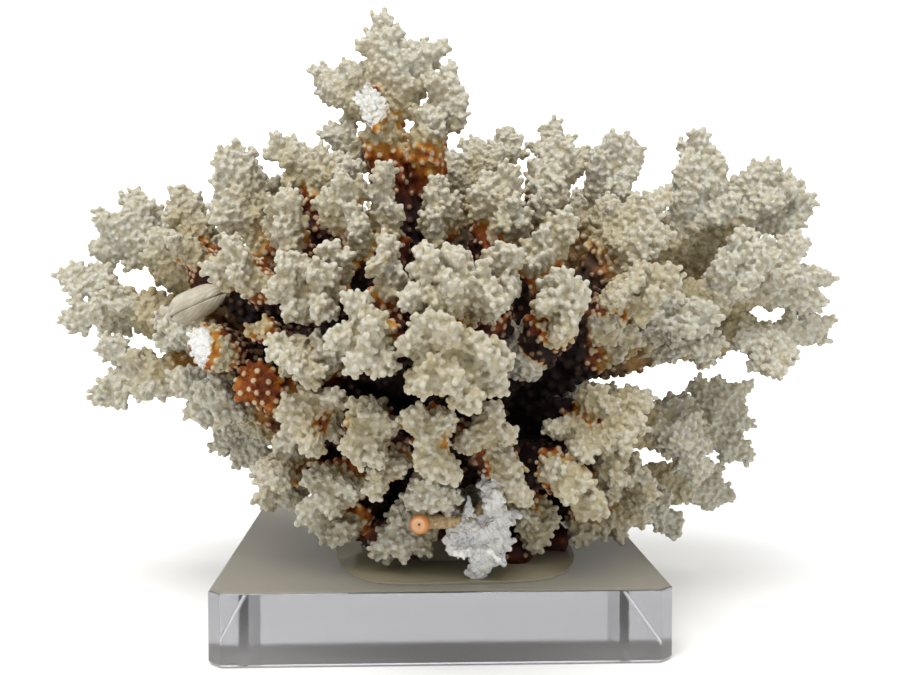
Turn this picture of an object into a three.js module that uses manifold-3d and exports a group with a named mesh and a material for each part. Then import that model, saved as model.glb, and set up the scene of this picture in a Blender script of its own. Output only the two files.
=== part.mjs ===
// Branching coral (a cauliflower coral) glued on a clear square display block.
// Units are millimetres. +Z is up, the front of the piece faces -Y, and the
// origin is the middle of the block's underside.
import * as THREE from 'three';
import Module from 'manifold-3d';
import { ConvexGeometry } from 'three/addons/geometries/ConvexGeometry.js';
import { mergeVertices } from 'three/addons/utils/BufferGeometryUtils.js';

const wasm = await Module();
wasm.setup();

// The block
const BLOCK_SIDE = 152.4;
const BLOCK_HEIGHT = 24.5;
const BLOCK_CORNER_CHAMFER = 4;
const BLOCK_EDGE_CHAMFER = 0.8;

// The small clear pad under the coral, and the bead of glue around its foot
const PAD_SIZE = [22, 24, 7.5];
const PAD_CENTRE = [5, -27];
const GLUE_THICKNESS = 0.6;

// The coral
const GAP = 0.35;
const LOBE_SIDES = 5;
const LOBE_SHOULDER = 0.3;
const STEM_SIDES = 5;
const STEM_ROOT_RADIUS = 5;
const STEM_FORK_RADIUS = 7;
const HEAD_COLLAR_RADIUS = 9.1;
const SIMPLIFY = 0.04;

// The worm tube
const TUBE_RADIUS = 2.4;
const TUBE_MOUTH_RADIUS = 3.3;
const TUBE_MOUTH_LENGTH = 4.5;
const TUBE_BORE_DEPTH = 1.2;
const TUBE_SIDES = 8;

// The clam lodged in the left side
const CLAM_CENTRE = [-86, -40, 117];
const CLAM_RADII = [15.5, 8, 9.5];
const CLAM_TILT = 0.42;

const CREAM = { color: 0xcdc7b4, roughness: 0.85, metalness: 0 };
const STAINED = { color: 0x8a6234, roughness: 0.85, metalness: 0 };
const DARK = { color: 0x36180c, roughness: 0.8, metalness: 0 };
const FRACTURE = { color: 0xe6e6e4, roughness: 0.9, metalness: 0 };
const TUBE = { color: 0xa98a5e, roughness: 0.7, metalness: 0 };
const SHELL = { color: 0xcbc3ae, roughness: 0.5, metalness: 0 };
const CLEAR = { color: 0xc4c3bf, roughness: 0.08, metalness: 0 };
const GLUE = { color: 0xd8d4c4, roughness: 0.25, metalness: 0 };

// The main limbs. Each springs from its root on the holdfast as one or more
// stems. A stem runs to a fork, where it opens into lobes, and each lobe is
// given by its tip [x, y, z] and its breadth.
const LIMBS = [
  // Top and upper left
  { name: 'crown_limb', root: [-6, -10, 94], finish: CREAM, stems: [
    { fork: [-19, -15, 178], lobes: [[-16, -17, 227, 15], [2, -17, 217, 17], [-7, -19, 212, 14],
      [-44, 3, 208, 13], [-31, 6, 213, 15], [-42, -2, 184, 12], [-23, -25, 190, 15],
      [-14, 8, 204, 14]] },
    { fork: [-11, -20, 176], lobes: [[4, -22, 203, 15], [9, -20, 189, 11]] } ] },
  { name: 'upper_left_outer_limb', root: [-26, -12, 88], finish: CREAM, stems: [
    { fork: [-62, -30, 140], lobes: [[-74, -36, 174, 16], [-81, -34, 161, 14], [-80, -39, 151, 12],
      [-66, -24, 168, 13]] } ] },
  { name: 'upper_left_inner_limb', root: [-16, -16, 94], finish: CREAM, stems: [
    { fork: [-43, -28, 146], lobes: [[-59, -32, 178, 13], [-48, -30, 174, 15], [-37, -34, 173, 15],
      [-29, -37, 166, 12], [-44, -16, 168, 14]] } ] },
  { name: 'upper_left_front_limb', root: [-26, -24, 84], finish: CREAM, stems: [
    { fork: [-52, -44, 132], lobes: [[-51, -58, 156, 12], [-54, -60, 143, 11], [-57, -46, 150, 10]] },
    { fork: [-60, -46, 124], lobes: [[-72, -64, 138, 13], [-68, -66, 128, 14], [-78, -58, 130, 11]] } ] },
  { name: 'upper_front_limb', root: [-10, -24, 94], finish: CREAM, stems: [
    { fork: [-28, -48, 138], lobes: [[-33, -58, 162, 14], [-40, -58, 154, 12], [-28, -60, 150, 13],
      [-27, -64, 141, 10]] },
    { fork: [-15, -44, 136], lobes: [[-18, -54, 164, 11], [-14, -54, 152, 11]] } ] },
  // Left side
  { name: 'left_high_limb', root: [-30, 6, 82], finish: CREAM, stems: [
    { fork: [-105, 9, 130], lobes: [[-121, 7, 161, 17], [-132, 6, 151, 15], [-134, 9, 140, 11],
      [-112, 14, 156, 13], [-124, 18, 144, 14]] } ] },
  { name: 'left_high_front_limb', root: [-32, -8, 82], finish: CREAM, stems: [
    { fork: [-88, -12, 130], lobes: [[-98, -6, 160, 13], [-90, -4, 154, 12], [-98, -26, 143, 16],
      [-107, -12, 142, 9]] } ] },
  { name: 'left_mid_limb', root: [-32, 0, 74], finish: CREAM, stems: [
    { fork: [-114, 0, 114], lobes: [[-144, 0, 128, 12], [-134, 2, 129, 11], [-144, -4, 111, 12],
      [-126, 3, 106, 8], [-126, -8, 120, 11]] } ] },
  { name: 'left_low_limb', root: [-32, -10, 66], finish: CREAM, stems: [
    { fork: [-100, -10, 92], lobes: [[-129, -8, 101, 12], [-130, -11, 81, 12], [-112, -12, 82, 11],
      [-116, 4, 92, 12]] } ] },
  { name: 'broken_left_limb', root: [-30, -20, 72], finish: STAINED, stems: [
    { fork: [-70, -32, 96], lobes: [[-85, -39, 102, 17], [-77, -37, 92, 10]] },
    { fork: [-50, -46, 104], lobes: [[-61, -63, 110, 11], [-58, -58, 101, 10]] } ] },
  { name: 'left_amber_limb', root: [-26, -26, 64], finish: STAINED, stems: [
    { fork: [-56, -42, 88], lobes: [[-64, -50, 95, 15], [-72, -49, 85, 11], [-60, -50, 82, 11]] } ] },
  { name: 'left_low_back_limb', root: [-30, 10, 62], finish: CREAM, stems: [
    { fork: [-72, 18, 72], lobes: [[-95, 16, 86, 14], [-99, 25, 71, 15], [-91, 24, 57, 11],
      [-81, 30, 49, 10], [-72, 28, 46, 10]] } ] },
  // Front, from the left
  { name: 'front_left_high_limb', root: [-20, -32, 82], finish: CREAM, stems: [
    { fork: [-40, -60, 120], lobes: [[-51, -76, 132, 13], [-56, -74, 123, 9], [-33, -76, 136, 14],
      [-38, -83, 116, 9], [-50, -74, 115, 10], [-38, -84, 128, 13]] },
    { fork: [-40, -60, 98], lobes: [[-54, -80, 103, 12], [-47, -87, 98, 14], [-36, -79, 103, 12]] } ] },
  { name: 'front_centre_left_limb', root: [-10, -38, 88], finish: CREAM, stems: [
    { fork: [-18, -78, 116], lobes: [[-18, -91, 138, 12], [-14, -88, 128, 11]] },
    { fork: [-19, -88, 107], lobes: [[-29, -105, 119, 12], [-34, -104, 108, 11], [-27, -107, 100, 12],
      [-18, -108, 100, 12], [-23, -113, 110, 14]] } ] },
  { name: 'front_centre_high_limb', root: [2, -40, 88], finish: CREAM, stems: [
    { fork: [3, -90, 117], lobes: [[-7, -108, 132, 13], [4, -110, 134, 13], [13, -110, 127, 13],
      [16, -108, 118, 10], [-11, -110, 121, 10], [2, -116, 124, 15]] },
    { fork: [17, -68, 116], lobes: [[20, -88, 135, 11], [21, -88, 124, 11]] } ] },
  { name: 'front_centre_low_limb', root: [0, -42, 78], finish: CREAM, stems: [
    { fork: [-2, -94, 103], lobes: [[-13, -111, 107, 11], [-7, -113, 112, 10], [2, -119, 112, 14],
      [-10, -113, 94, 12], [2, -118, 96, 13]] },
    { fork: [4, -94, 101], lobes: [[12, -116, 107, 12], [17, -112, 101, 10], [16, -110, 94, 11],
      [7, -114, 88, 11]] } ] },
  { name: 'front_low_limb', root: [2, -40, 66], finish: CREAM, stems: [
    { fork: [-4, -84, 79], lobes: [[-10, -98, 84, 11], [0, -97, 83, 10], [-6, -99, 75, 12],
      [-6, -96, 64, 10], [2, -93, 63, 9]] },
    { fork: [12, -72, 80], lobes: [[9, -87, 73, 11], [21, -86, 75, 9], [17, -88, 82, 9]] } ] },
  { name: 'front_low_left_limb', root: [-10, -38, 68], finish: CREAM, stems: [
    { fork: [-24, -72, 79], lobes: [[-24, -87, 88, 12], [-17, -88, 78, 11], [-29, -88, 69, 13],
      [-21, -87, 69, 9]] },
    { fork: [-17, -68, 68], lobes: [[-22, -83, 57, 10], [-14, -79, 64, 10]] } ] },
  { name: 'front_left_low_limb', root: [-20, -32, 68], finish: CREAM, stems: [
    { fork: [-39, -62, 82], lobes: [[-48, -79, 86, 12], [-45, -80, 70, 11], [-52, -76, 79, 9],
      [-36, -78, 89, 12], [-33, -68, 74, 11]] } ] },
  { name: 'front_left_foot_limb', root: [-18, -28, 52], finish: CREAM, stems: [
    { fork: [-33, -52, 57], lobes: [[-45, -64, 61, 13], [-40, -68, 49, 13], [-31, -68, 54, 10],
      [-47, -62, 45, 8]] },
    { fork: [-30, -44, 42], lobes: [[-44, -53, 39, 12], [-34, -58, 37, 12]] } ] },
  { name: 'left_foot_limb', root: [-26, -16, 54], finish: CREAM, stems: [
    { fork: [-48, -36, 60], lobes: [[-59, -60, 58, 10], [-54, -52, 70, 10], [-63, -43, 46, 10],
      [-53, -44, 46, 9], [-66, -38, 58, 10]] } ] },
  { name: 'front_foot_limb', root: [0, -32, 46], finish: CREAM, stems: [
    { fork: [-10, -48, 40], lobes: [[-16, -60, 46, 15], [-15, -63, 33, 16], [-22, -58, 31, 10],
      [-2, -56, 31, 9]] },
    { fork: [-3, -56, 55], lobes: [[-10, -74, 55, 10], [2, -75, 54, 11], [-4, -80, 57, 12]] } ] },
  { name: 'broken_front_limb', root: [12, -32, 46], finish: FRACTURE, stems: [
    { fork: [14, -48, 42], lobes: [[19, -60, 54, 11], [10, -66, 42, 16], [21, -66, 39, 16],
      [16, -66, 30, 12]] } ] },
  // Front right
  { name: 'front_right_low_limb', root: [14, -36, 62], finish: CREAM, stems: [
    { fork: [18, -68, 68], lobes: [[19, -79, 72, 11], [23, -82, 61, 14], [27, -78, 52, 11]] } ] },
  { name: 'right_low_front_limb', root: [22, -28, 58], finish: CREAM, stems: [
    { fork: [40, -62, 62], lobes: [[36, -74, 64, 11], [44, -80, 56, 14], [53, -74, 47, 12]] },
    { fork: [30, -42, 44], lobes: [[35, -50, 31, 9], [42, -48, 40, 10], [29, -54, 41, 10]] } ] },
  { name: 'right_mid_front_limb', root: [28, -22, 72], finish: CREAM, stems: [
    { fork: [52, -50, 77], lobes: [[55, -66, 87, 13], [70, -60, 87, 13], [68, -64, 76, 12],
      [46, -72, 68, 12], [60, -74, 71, 14], [60, -67, 58, 10], [36, -66, 75, 9]] } ] },
  { name: 'right_foot_limb', root: [28, -14, 52], finish: CREAM, stems: [
    { fork: [62, -36, 60], lobes: [[70, -47, 57, 11], [77, -45, 47, 11], [60, -48, 50, 9]] },
    { fork: [56, -24, 42], lobes: [[70, -24, 31, 11], [79, -20, 36, 10], [61, -30, 32, 8],
      [51, -40, 31, 9]] } ] },
  { name: 'right_low_limb', root: [32, -6, 62], finish: CREAM, stems: [
    { fork: [85, -14, 70], lobes: [[103, -18, 61, 14], [101, -14, 72, 13], [101, -18, 51, 11],
      [96, -8, 80, 12], [90, -26, 66, 12]] } ] },
  { name: 'right_low_back_limb', root: [32, 8, 66], finish: CREAM, stems: [
    { fork: [104, 17, 68], lobes: [[130, 20, 82, 15], [131, 17, 69, 14], [130, 18, 53, 13],
      [118, 22, 85, 14], [120, 26, 58, 13]] } ] },
  { name: 'right_foot_back_limb', root: [30, 12, 48], finish: CREAM, stems: [
    { fork: [102, 25, 41], lobes: [[122, 30, 45, 12], [126, 30, 34, 13], [114, 36, 36, 11]] },
    { fork: [84, 12, 38], lobes: [[99, 14, 23, 10], [92, 12, 30, 9], [92, 4, 40, 10]] } ] },
  { name: 'front_right_high_limb', root: [18, -34, 82], finish: CREAM, stems: [
    { fork: [37, -72, 111], lobes: [[38, -88, 128, 14], [33, -87, 121, 10], [43, -84, 122, 11],
      [40, -88, 113, 13]] },
    { fork: [22, -48, 102], lobes: [[25, -60, 109, 12], [28, -61, 99, 12], [18, -62, 112, 9]] } ] },
  { name: 'upper_right_front_limb', root: [12, -26, 94], finish: CREAM, stems: [
    { fork: [34, -54, 128], lobes: [[35, -66, 141, 13], [42, -66, 148, 11], [31, -69, 134, 11]] },
    { fork: [20, -42, 140], lobes: [[22, -50, 165, 14], [15, -52, 159, 12], [24, -58, 152, 13],
      [30, -54, 147, 11]] } ] },
  { name: 'upper_right_mid_limb', root: [16, -12, 96], finish: CREAM, stems: [
    { fork: [38, -24, 148], lobes: [[45, -30, 177, 15], [38, -34, 168, 13], [46, -38, 161, 13],
      [37, -38, 156, 11]] },
    { fork: [44, 8, 156], lobes: [[49, 19, 191, 17], [59, 8, 179, 15], [42, 12, 176, 13]] } ] },
  { name: 'upper_mid_limb', root: [2, -20, 98], finish: CREAM, stems: [
    { fork: [-1, -36, 136], lobes: [[-2, -44, 162, 12], [4, -44, 156, 10], [-3, -52, 148, 11]] } ] },
  { name: 'upper_back_limb', root: [4, 12, 98], finish: CREAM, stems: [
    { fork: [18, 38, 158], lobes: [[19, 51, 190, 18], [37, 50, 191, 15], [28, 40, 184, 14],
      [2, 30, 180, 15], [10, 46, 176, 13]] } ] },
  { name: 'upper_right_outer_limb', root: [22, -2, 92], finish: CREAM, stems: [
    { fork: [58, -18, 146], lobes: [[68, -26, 180, 14], [75, -24, 173, 12], [61, -28, 173, 11],
      [70, -30, 165, 12], [66, -12, 170, 13]] } ] },
  { name: 'right_upper_front_limb', root: [24, -16, 88], finish: CREAM, stems: [
    { fork: [58, -38, 130], lobes: [[71, -46, 154, 16], [80, -42, 159, 13], [79, -50, 145, 13],
      [68, -54, 143, 14], [70, -55, 135, 11], [61, -42, 155, 12]] } ] },
  { name: 'right_mid_high_limb', root: [28, -20, 80], finish: CREAM, stems: [
    { fork: [56, -50, 114], lobes: [[66, -71, 128, 14], [77, -68, 128, 12], [72, -71, 120, 12],
      [61, -71, 121, 11]] },
    { fork: [54, -40, 102], lobes: [[63, -52, 101, 14], [58, -56, 112, 11], [70, -46, 108, 11]] } ] },
  // Right side
  { name: 'right_top_limb', root: [30, -2, 84], finish: CREAM, stems: [
    { fork: [91, -15, 145], lobes: [[99, -20, 181, 15], [105, -18, 174, 12], [93, -23, 172, 11],
      [107, -22, 165, 13], [94, -26, 161, 13], [110, -26, 155, 12]] } ] },
  { name: 'right_far_top_limb', root: [32, 6, 80], finish: CREAM, stems: [
    { fork: [118, -2, 148], lobes: [[130, -5, 173, 14], [142, -4, 166, 13], [147, -4, 157, 11],
      [142, -6, 148, 11], [135, -13, 160, 14], [120, -4, 167, 10]] } ] },
  { name: 'right_far_mid_limb', root: [32, -8, 76], finish: CREAM, stems: [
    { fork: [104, -26, 120], lobes: [[111, -38, 143, 13], [119, -40, 138, 13], [104, -38, 134, 12],
      [114, -40, 126, 13]] },
    { fork: [118, -20, 122], lobes: [[135, -26, 141, 14], [149, -18, 128, 13], [145, -20, 118, 12],
      [133, -30, 126, 16]] } ] },
  { name: 'right_far_low_limb', root: [33, 0, 70], finish: CREAM, stems: [
    { fork: [116, -18, 108], lobes: [[151, -10, 109, 12], [150, -8, 103, 11], [124, -34, 90, 13],
      [119, -34, 97, 12], [129, -32, 96, 11]] },
    { fork: [92, -4, 106], lobes: [[104, -2, 98, 12], [112, 4, 94, 11], [114, 0, 103, 10],
      [86, -15, 99, 11]] } ] },
  { name: 'right_back_mid_limb', root: [28, 18, 74], finish: CREAM, stems: [
    { fork: [70, 38, 82], lobes: [[82, 46, 90, 14], [98, 48, 86, 14], [90, 42, 77, 12]] },
    { fork: [52, 12, 92], lobes: [[57, 4, 96, 14], [66, 6, 99, 13], [58, 16, 104, 12]] } ] },
  // Back
  { name: 'back_top_limb', root: [-4, 20, 94], finish: CREAM, stems: [
    { fork: [-8, 56, 140], lobes: [[-12, 78, 160, 15], [4, 82, 154, 14], [-22, 66, 164, 14],
      [0, 64, 164, 13]] } ] },
  { name: 'back_upper_left_limb', root: [-20, 14, 90], finish: CREAM, stems: [
    { fork: [-44, 48, 132], lobes: [[-62, 56, 152, 15], [-50, 70, 146, 14], [-38, 60, 160, 14]] },
    { fork: [-74, 36, 124], lobes: [[-99, 42, 140, 15], [-90, 52, 131, 14], [-92, 30, 148, 13]] } ] },
  { name: 'top_left_limb', root: [-20, 0, 94], finish: CREAM, stems: [
    { fork: [-56, 12, 142], lobes: [[-72, 8, 168, 15], [-57, 18, 172, 15], [-82, 16, 158, 14],
      [-64, 28, 160, 14], [-46, 6, 170, 13]] } ] },
  { name: 'back_upper_right_limb', root: [20, 12, 92], finish: CREAM, stems: [
    { fork: [62, 42, 136], lobes: [[78, 52, 156, 15], [62, 64, 151, 15], [86, 42, 150, 14],
      [62, 42, 164, 14]] } ] },
  { name: 'back_right_limb', root: [30, 14, 82], finish: CREAM, stems: [
    { fork: [94, 34, 118], lobes: [[120, 44, 130, 15], [108, 56, 120, 15], [126, 32, 118, 13],
      [104, 38, 138, 14], [112, 22, 132, 13]] } ] },
  { name: 'back_left_limb', root: [-28, 16, 76], finish: CREAM, stems: [
    { fork: [-80, 46, 102], lobes: [[-104, 56, 112, 15], [-94, 66, 101, 15], [-108, 46, 98, 14],
      [-86, 58, 118, 14], [-98, 40, 112, 13]] } ] },
  { name: 'back_mid_limb', root: [-4, 30, 78], finish: CREAM, stems: [
    { fork: [-8, 80, 102], lobes: [[-16, 102, 112, 15], [0, 105, 103, 15], [-22, 97, 98, 14],
      [6, 96, 116, 14], [-6, 103, 91, 13]] },
    { fork: [-32, 66, 96], lobes: [[-48, 84, 106, 15], [-44, 90, 92, 14], [-54, 78, 88, 13],
      [-34, 82, 114, 13]] } ] },
  { name: 'back_right_mid_limb', root: [20, 26, 78], finish: CREAM, stems: [
    { fork: [48, 70, 98], lobes: [[62, 90, 106, 15], [48, 97, 96, 15], [72, 82, 92, 14],
      [54, 80, 114, 14], [38, 88, 108, 13]] } ] },
  { name: 'back_low_limb', root: [-6, 28, 54], finish: CREAM, stems: [
    { fork: [-6, 66, 58], lobes: [[-14, 87, 64, 14], [6, 90, 62, 14], [-6, 88, 50, 13],
      [14, 82, 50, 12]] },
    { fork: [-46, 58, 60], lobes: [[-62, 74, 66, 14], [-52, 80, 58, 13], [-70, 62, 54, 13]] } ] },
  { name: 'back_right_low_limb', root: [20, 24, 54], finish: CREAM, stems: [
    { fork: [58, 56, 58], lobes: [[74, 70, 64, 14], [62, 78, 58, 14], [84, 58, 54, 13],
      [70, 64, 46, 12]] } ] },
];

// The holdfast, as lumps given by centre and radii. The block's top cuts it flat.
const HOLDFAST_LUMPS = [
  { centre: [2, -4, 64], radii: [34, 38, 38] },
  { centre: [-6, -14, 34], radii: [26, 26, 18] },
  { centre: [16, -8, 34], radii: [25, 28, 18] },
  { centre: [2, 16, 34], radii: [27, 24, 18] },
];

// Turn a three.js geometry into a solid.
function solidFrom(geometry) {
  const bare = geometry.clone();
  bare.deleteAttribute('normal');
  if (bare.hasAttribute('uv')) bare.deleteAttribute('uv');
  const merged = mergeVertices(bare, 1e-4);
  const index = merged.index.array;
  const kept = [];
  for (let i = 0; i < index.length; i += 3) {
    const [a, b, c] = [index[i], index[i + 1], index[i + 2]];
    if (a !== b && b !== c && c !== a) kept.push(a, b, c);
  }
  return new wasm.Manifold(new wasm.Mesh({
    numProp: 3,
    vertProperties: new Float32Array(merged.attributes.position.array),
    triVerts: new Uint32Array(kept),
  }));
}

// Turn a solid back into a three.js geometry.
function geometryFrom(solid) {
  const { vertProperties, triVerts } = solid.getMesh();
  const geometry = new THREE.BufferGeometry();
  geometry.setAttribute('position', new THREE.BufferAttribute(vertProperties, 3));
  geometry.setIndex(new THREE.BufferAttribute(triVerts, 1));
  geometry.computeVertexNormals();
  return geometry;
}

// A turned shape laid along the line from one point to another. The profile
// lists [distance along the line, radius], the broad side faces away from
// `spread`, and `flatness` thins it across.
function turnedAlong(from, to, profile, sides, spread, flatness) {
  const points = profile.map(([along, radius]) => new THREE.Vector2(radius, along));
  const geometry = new THREE.LatheGeometry(points, sides);
  geometry.scale(1, 1, flatness);
  const axis = new THREE.Vector3().subVectors(to, from).normalize();
  const across = new THREE.Vector3().crossVectors(spread, axis);
  across.normalize();
  const broad = new THREE.Vector3().crossVectors(axis, across);
  const matrix = new THREE.Matrix4().makeBasis(broad, axis, across);
  matrix.setPosition(from);
  geometry.applyMatrix4(matrix);
  return solidFrom(geometry);
}

// One stem from its root to its fork, grown all round by `grow`.
function stemSolid(root, fork, grow) {
  const length = root.distanceTo(fork);
  const profile = [
    [-grow, 0],
    [0, STEM_ROOT_RADIUS + grow],
    [length, STEM_FORK_RADIUS + grow],
    [length + STEM_FORK_RADIUS * 0.6 + grow, 0],
  ];
  const up = new THREE.Vector3(0, 0, 1);
  return turnedAlong(root, fork, profile, STEM_SIDES, up, 1);
}

// The head that a stem opens into: the closed lump that reaches every lobe's
// rounded end, drawn in to the stem at the fork.
function headSolid(fork, lobes, stemAxis, grow) {
  const base = fork.clone().addScaledVector(stemAxis, -grow);
  const points = ringPoints(base, stemAxis, HEAD_COLLAR_RADIUS + grow, STEM_SIDES);
  for (const [x, y, z, breadth] of lobes) {
    const tip = new THREE.Vector3(x, y, z);
    const axis = new THREE.Vector3().subVectors(tip, fork).normalize();
    const shoulder = tip.clone().addScaledVector(axis, -breadth * LOBE_SHOULDER);
    points.push(...ringPoints(shoulder, axis, breadth / 2 + grow, LOBE_SIDES));
    points.push(tip.clone().addScaledVector(axis, grow));
  }
  return solidFrom(new ConvexGeometry(points));
}

// A ring of points round an axis.
function ringPoints(centre, axis, radius, sides) {
  const across = new THREE.Vector3(axis.y, -axis.x, 0.01).normalize();
  const points = [];
  for (let i = 0; i < sides; i += 1) {
    const spoke = across.clone().applyAxisAngle(axis, (i * 2 * Math.PI) / sides);
    points.push(centre.clone().addScaledVector(spoke, radius));
  }
  return points;
}

// One main limb: its stems and their heads joined in one solid.
function limbSolid(limb, grow) {
  const root = new THREE.Vector3(...limb.root);
  const pieces = [];
  for (const stem of limb.stems) {
    const fork = new THREE.Vector3(...stem.fork);
    const stemAxis = new THREE.Vector3().subVectors(fork, root).normalize();
    pieces.push(stemSolid(root, fork, grow));
    pieces.push(headSolid(fork, stem.lobes, stemAxis, grow));
  }
  return wasm.Manifold.union(pieces);
}

// A rounded lump.
function lumpSolid({ centre, radii }, grow) {
  const geometry = new THREE.SphereGeometry(1, 10, 6);
  geometry.scale(radii[0] + grow, radii[2] + grow, radii[1] + grow);
  geometry.rotateX(Math.PI / 2);
  geometry.translate(...centre);
  return solidFrom(geometry);
}

// A box standing on `bottom`.
function boxSolid([width, depth, height], [x, y], bottom) {
  const geometry = new THREE.BoxGeometry(width, depth, height);
  geometry.translate(x, y, bottom + height / 2);
  return solidFrom(geometry);
}

// The display block: a square slab with chamfered upright corners and edges.
function blockSolid() {
  const half = BLOCK_SIDE / 2 - BLOCK_EDGE_CHAMFER;
  const cut = BLOCK_CORNER_CHAMFER;
  const shape = new THREE.Shape([
    new THREE.Vector2(-half + cut, -half),
    new THREE.Vector2(half - cut, -half),
    new THREE.Vector2(half, -half + cut),
    new THREE.Vector2(half, half - cut),
    new THREE.Vector2(half - cut, half),
    new THREE.Vector2(-half + cut, half),
    new THREE.Vector2(-half, half - cut),
    new THREE.Vector2(-half, -half + cut),
  ]);
  const geometry = new THREE.ExtrudeGeometry(shape, {
    depth: BLOCK_HEIGHT - 2 * BLOCK_EDGE_CHAMFER,
    bevelThickness: BLOCK_EDGE_CHAMFER,
    bevelSize: BLOCK_EDGE_CHAMFER,
    bevelSegments: 1,
  });
  geometry.translate(0, 0, BLOCK_EDGE_CHAMFER);
  return solidFrom(geometry);
}

// The bead of clear glue that has run out round the coral's foot.
function glueSolid() {
  const outline = new THREE.CatmullRomCurve3([
    new THREE.Vector3(-24, -66, 0),
    new THREE.Vector3(6, -69, 0),
    new THREE.Vector3(38, -63, 0),
    new THREE.Vector3(50, -20, 0),
    new THREE.Vector3(34, 34, 0),
    new THREE.Vector3(-24, 36, 0),
    new THREE.Vector3(-38, -16, 0),
  ], true);
  const points = outline.getPoints(28).slice(0, -1);
  const shape = new THREE.Shape(points.map(({ x, y }) => new THREE.Vector2(x, y)));
  const geometry = new THREE.ExtrudeGeometry(shape, { depth: GLUE_THICKNESS, bevelEnabled: false });
  geometry.translate(0, 0, BLOCK_HEIGHT + 0.3);
  return solidFrom(geometry);
}

// The worm tube: a bent tube with a flared mouth that faces forward.
function tubeSolid(grow) {
  const route = new THREE.CatmullRomCurve3([
    new THREE.Vector3(-7.5, -72, 45.5),
    new THREE.Vector3(-5, -66.5, 45),
    new THREE.Vector3(3, -64.5, 44.5),
    new THREE.Vector3(10, -64, 45),
    new THREE.Vector3(15, -60, 50),
    new THREE.Vector3(18, -56, 57),
  ]);
  const ring = new THREE.Shape();
  ring.absarc(0, 0, TUBE_RADIUS + grow, 0, Math.PI * 2);
  const pipe = new THREE.ExtrudeGeometry(ring, { steps: 10, curveSegments: 4, extrudePath: route });
  const mouth = TUBE_MOUTH_RADIUS + grow;
  const profile = [
    [0, 0],
    [0, mouth * 0.8],
    [TUBE_MOUTH_LENGTH - 1, mouth],
    [TUBE_MOUTH_LENGTH + grow, mouth * 0.9],
    [TUBE_MOUTH_LENGTH + grow, mouth * 0.55],
    [TUBE_MOUTH_LENGTH - TUBE_BORE_DEPTH, mouth * 0.5],
    [TUBE_MOUTH_LENGTH - TUBE_BORE_DEPTH, 0],
  ];
  const back = new THREE.Vector3(-6.5, -70, 45.3);
  const front = new THREE.Vector3(-7.8, -75, 45.6);
  const flare = turnedAlong(back, front, profile, TUBE_SIDES, new THREE.Vector3(0, 0, 1), 1);
  return solidFrom(pipe).add(flare);
}

// The clam: a lens-shaped pair of closed valves.
function clamSolid(grow) {
  const geometry = new THREE.SphereGeometry(1, 10, 5);
  geometry.scale(CLAM_RADII[0] + grow, CLAM_RADII[2] + grow, CLAM_RADII[1] + grow);
  geometry.rotateX(Math.PI / 2);
  geometry.rotateY(-CLAM_TILT);
  geometry.translate(...CLAM_CENTRE);
  return solidFrom(geometry);
}

const coral = new THREE.Group();
const placed = [];

// Cut a solid clear of every piece placed before it, keep its largest body,
// and add it to the group. `fat` is the same solid grown by the gap.
function place(name, solid, fat, finish) {
  let cut = solid;
  for (const other of placed) cut = cut.subtract(other);
  const bodies = cut.simplify(SIMPLIFY).decompose();
  bodies.sort((a, b) => b.volume() - a.volume());
  placed.push(fat);
  const mesh = new THREE.Mesh(geometryFrom(bodies[0]), new THREE.MeshStandardMaterial(finish));
  mesh.name = name;
  coral.add(mesh);
}

const block = blockSolid();
const slab = boxSolid([BLOCK_SIDE, BLOCK_SIDE, BLOCK_HEIGHT], [0, 0], GAP);
place('display_block', block, slab, CLEAR);

const padBottom = BLOCK_HEIGHT + GAP;
const padGrown = PAD_SIZE.map((size) => size + 2 * GAP);
place('riser_pad', boxSolid(PAD_SIZE, PAD_CENTRE, padBottom), boxSolid(padGrown, PAD_CENTRE, padBottom - GAP), CLEAR);

place('worm_tube', tubeSolid(0), tubeSolid(GAP), TUBE);
place('lodged_clam', clamSolid(0), clamSolid(GAP), SHELL);

const holdfast = wasm.Manifold.union(HOLDFAST_LUMPS.map((lump) => lumpSolid(lump, 0)));
const holdfastFat = wasm.Manifold.union(HOLDFAST_LUMPS.map((lump) => lumpSolid(lump, GAP)));
place('holdfast', holdfast, holdfastFat, DARK);

place('glue_bead', glueSolid(), glueSolid(), GLUE);

for (const limb of LIMBS) place(limb.name, limbSolid(limb, 0), limbSolid(limb, GAP), limb.finish);

export default coral;
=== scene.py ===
import math

import bpy
import numpy as np
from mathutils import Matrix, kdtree


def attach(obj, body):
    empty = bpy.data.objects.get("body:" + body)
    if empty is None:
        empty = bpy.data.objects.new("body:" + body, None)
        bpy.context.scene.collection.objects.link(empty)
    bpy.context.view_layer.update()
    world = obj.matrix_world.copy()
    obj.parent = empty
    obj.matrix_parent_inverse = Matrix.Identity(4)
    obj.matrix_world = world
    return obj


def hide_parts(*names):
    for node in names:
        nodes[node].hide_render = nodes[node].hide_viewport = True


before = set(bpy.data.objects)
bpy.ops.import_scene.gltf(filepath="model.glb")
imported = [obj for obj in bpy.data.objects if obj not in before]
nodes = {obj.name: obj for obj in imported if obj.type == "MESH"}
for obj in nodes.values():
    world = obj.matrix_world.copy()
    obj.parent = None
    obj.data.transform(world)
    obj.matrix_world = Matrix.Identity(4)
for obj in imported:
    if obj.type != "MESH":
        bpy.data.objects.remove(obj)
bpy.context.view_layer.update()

scene = bpy.context.scene
MM = 0.001

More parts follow.
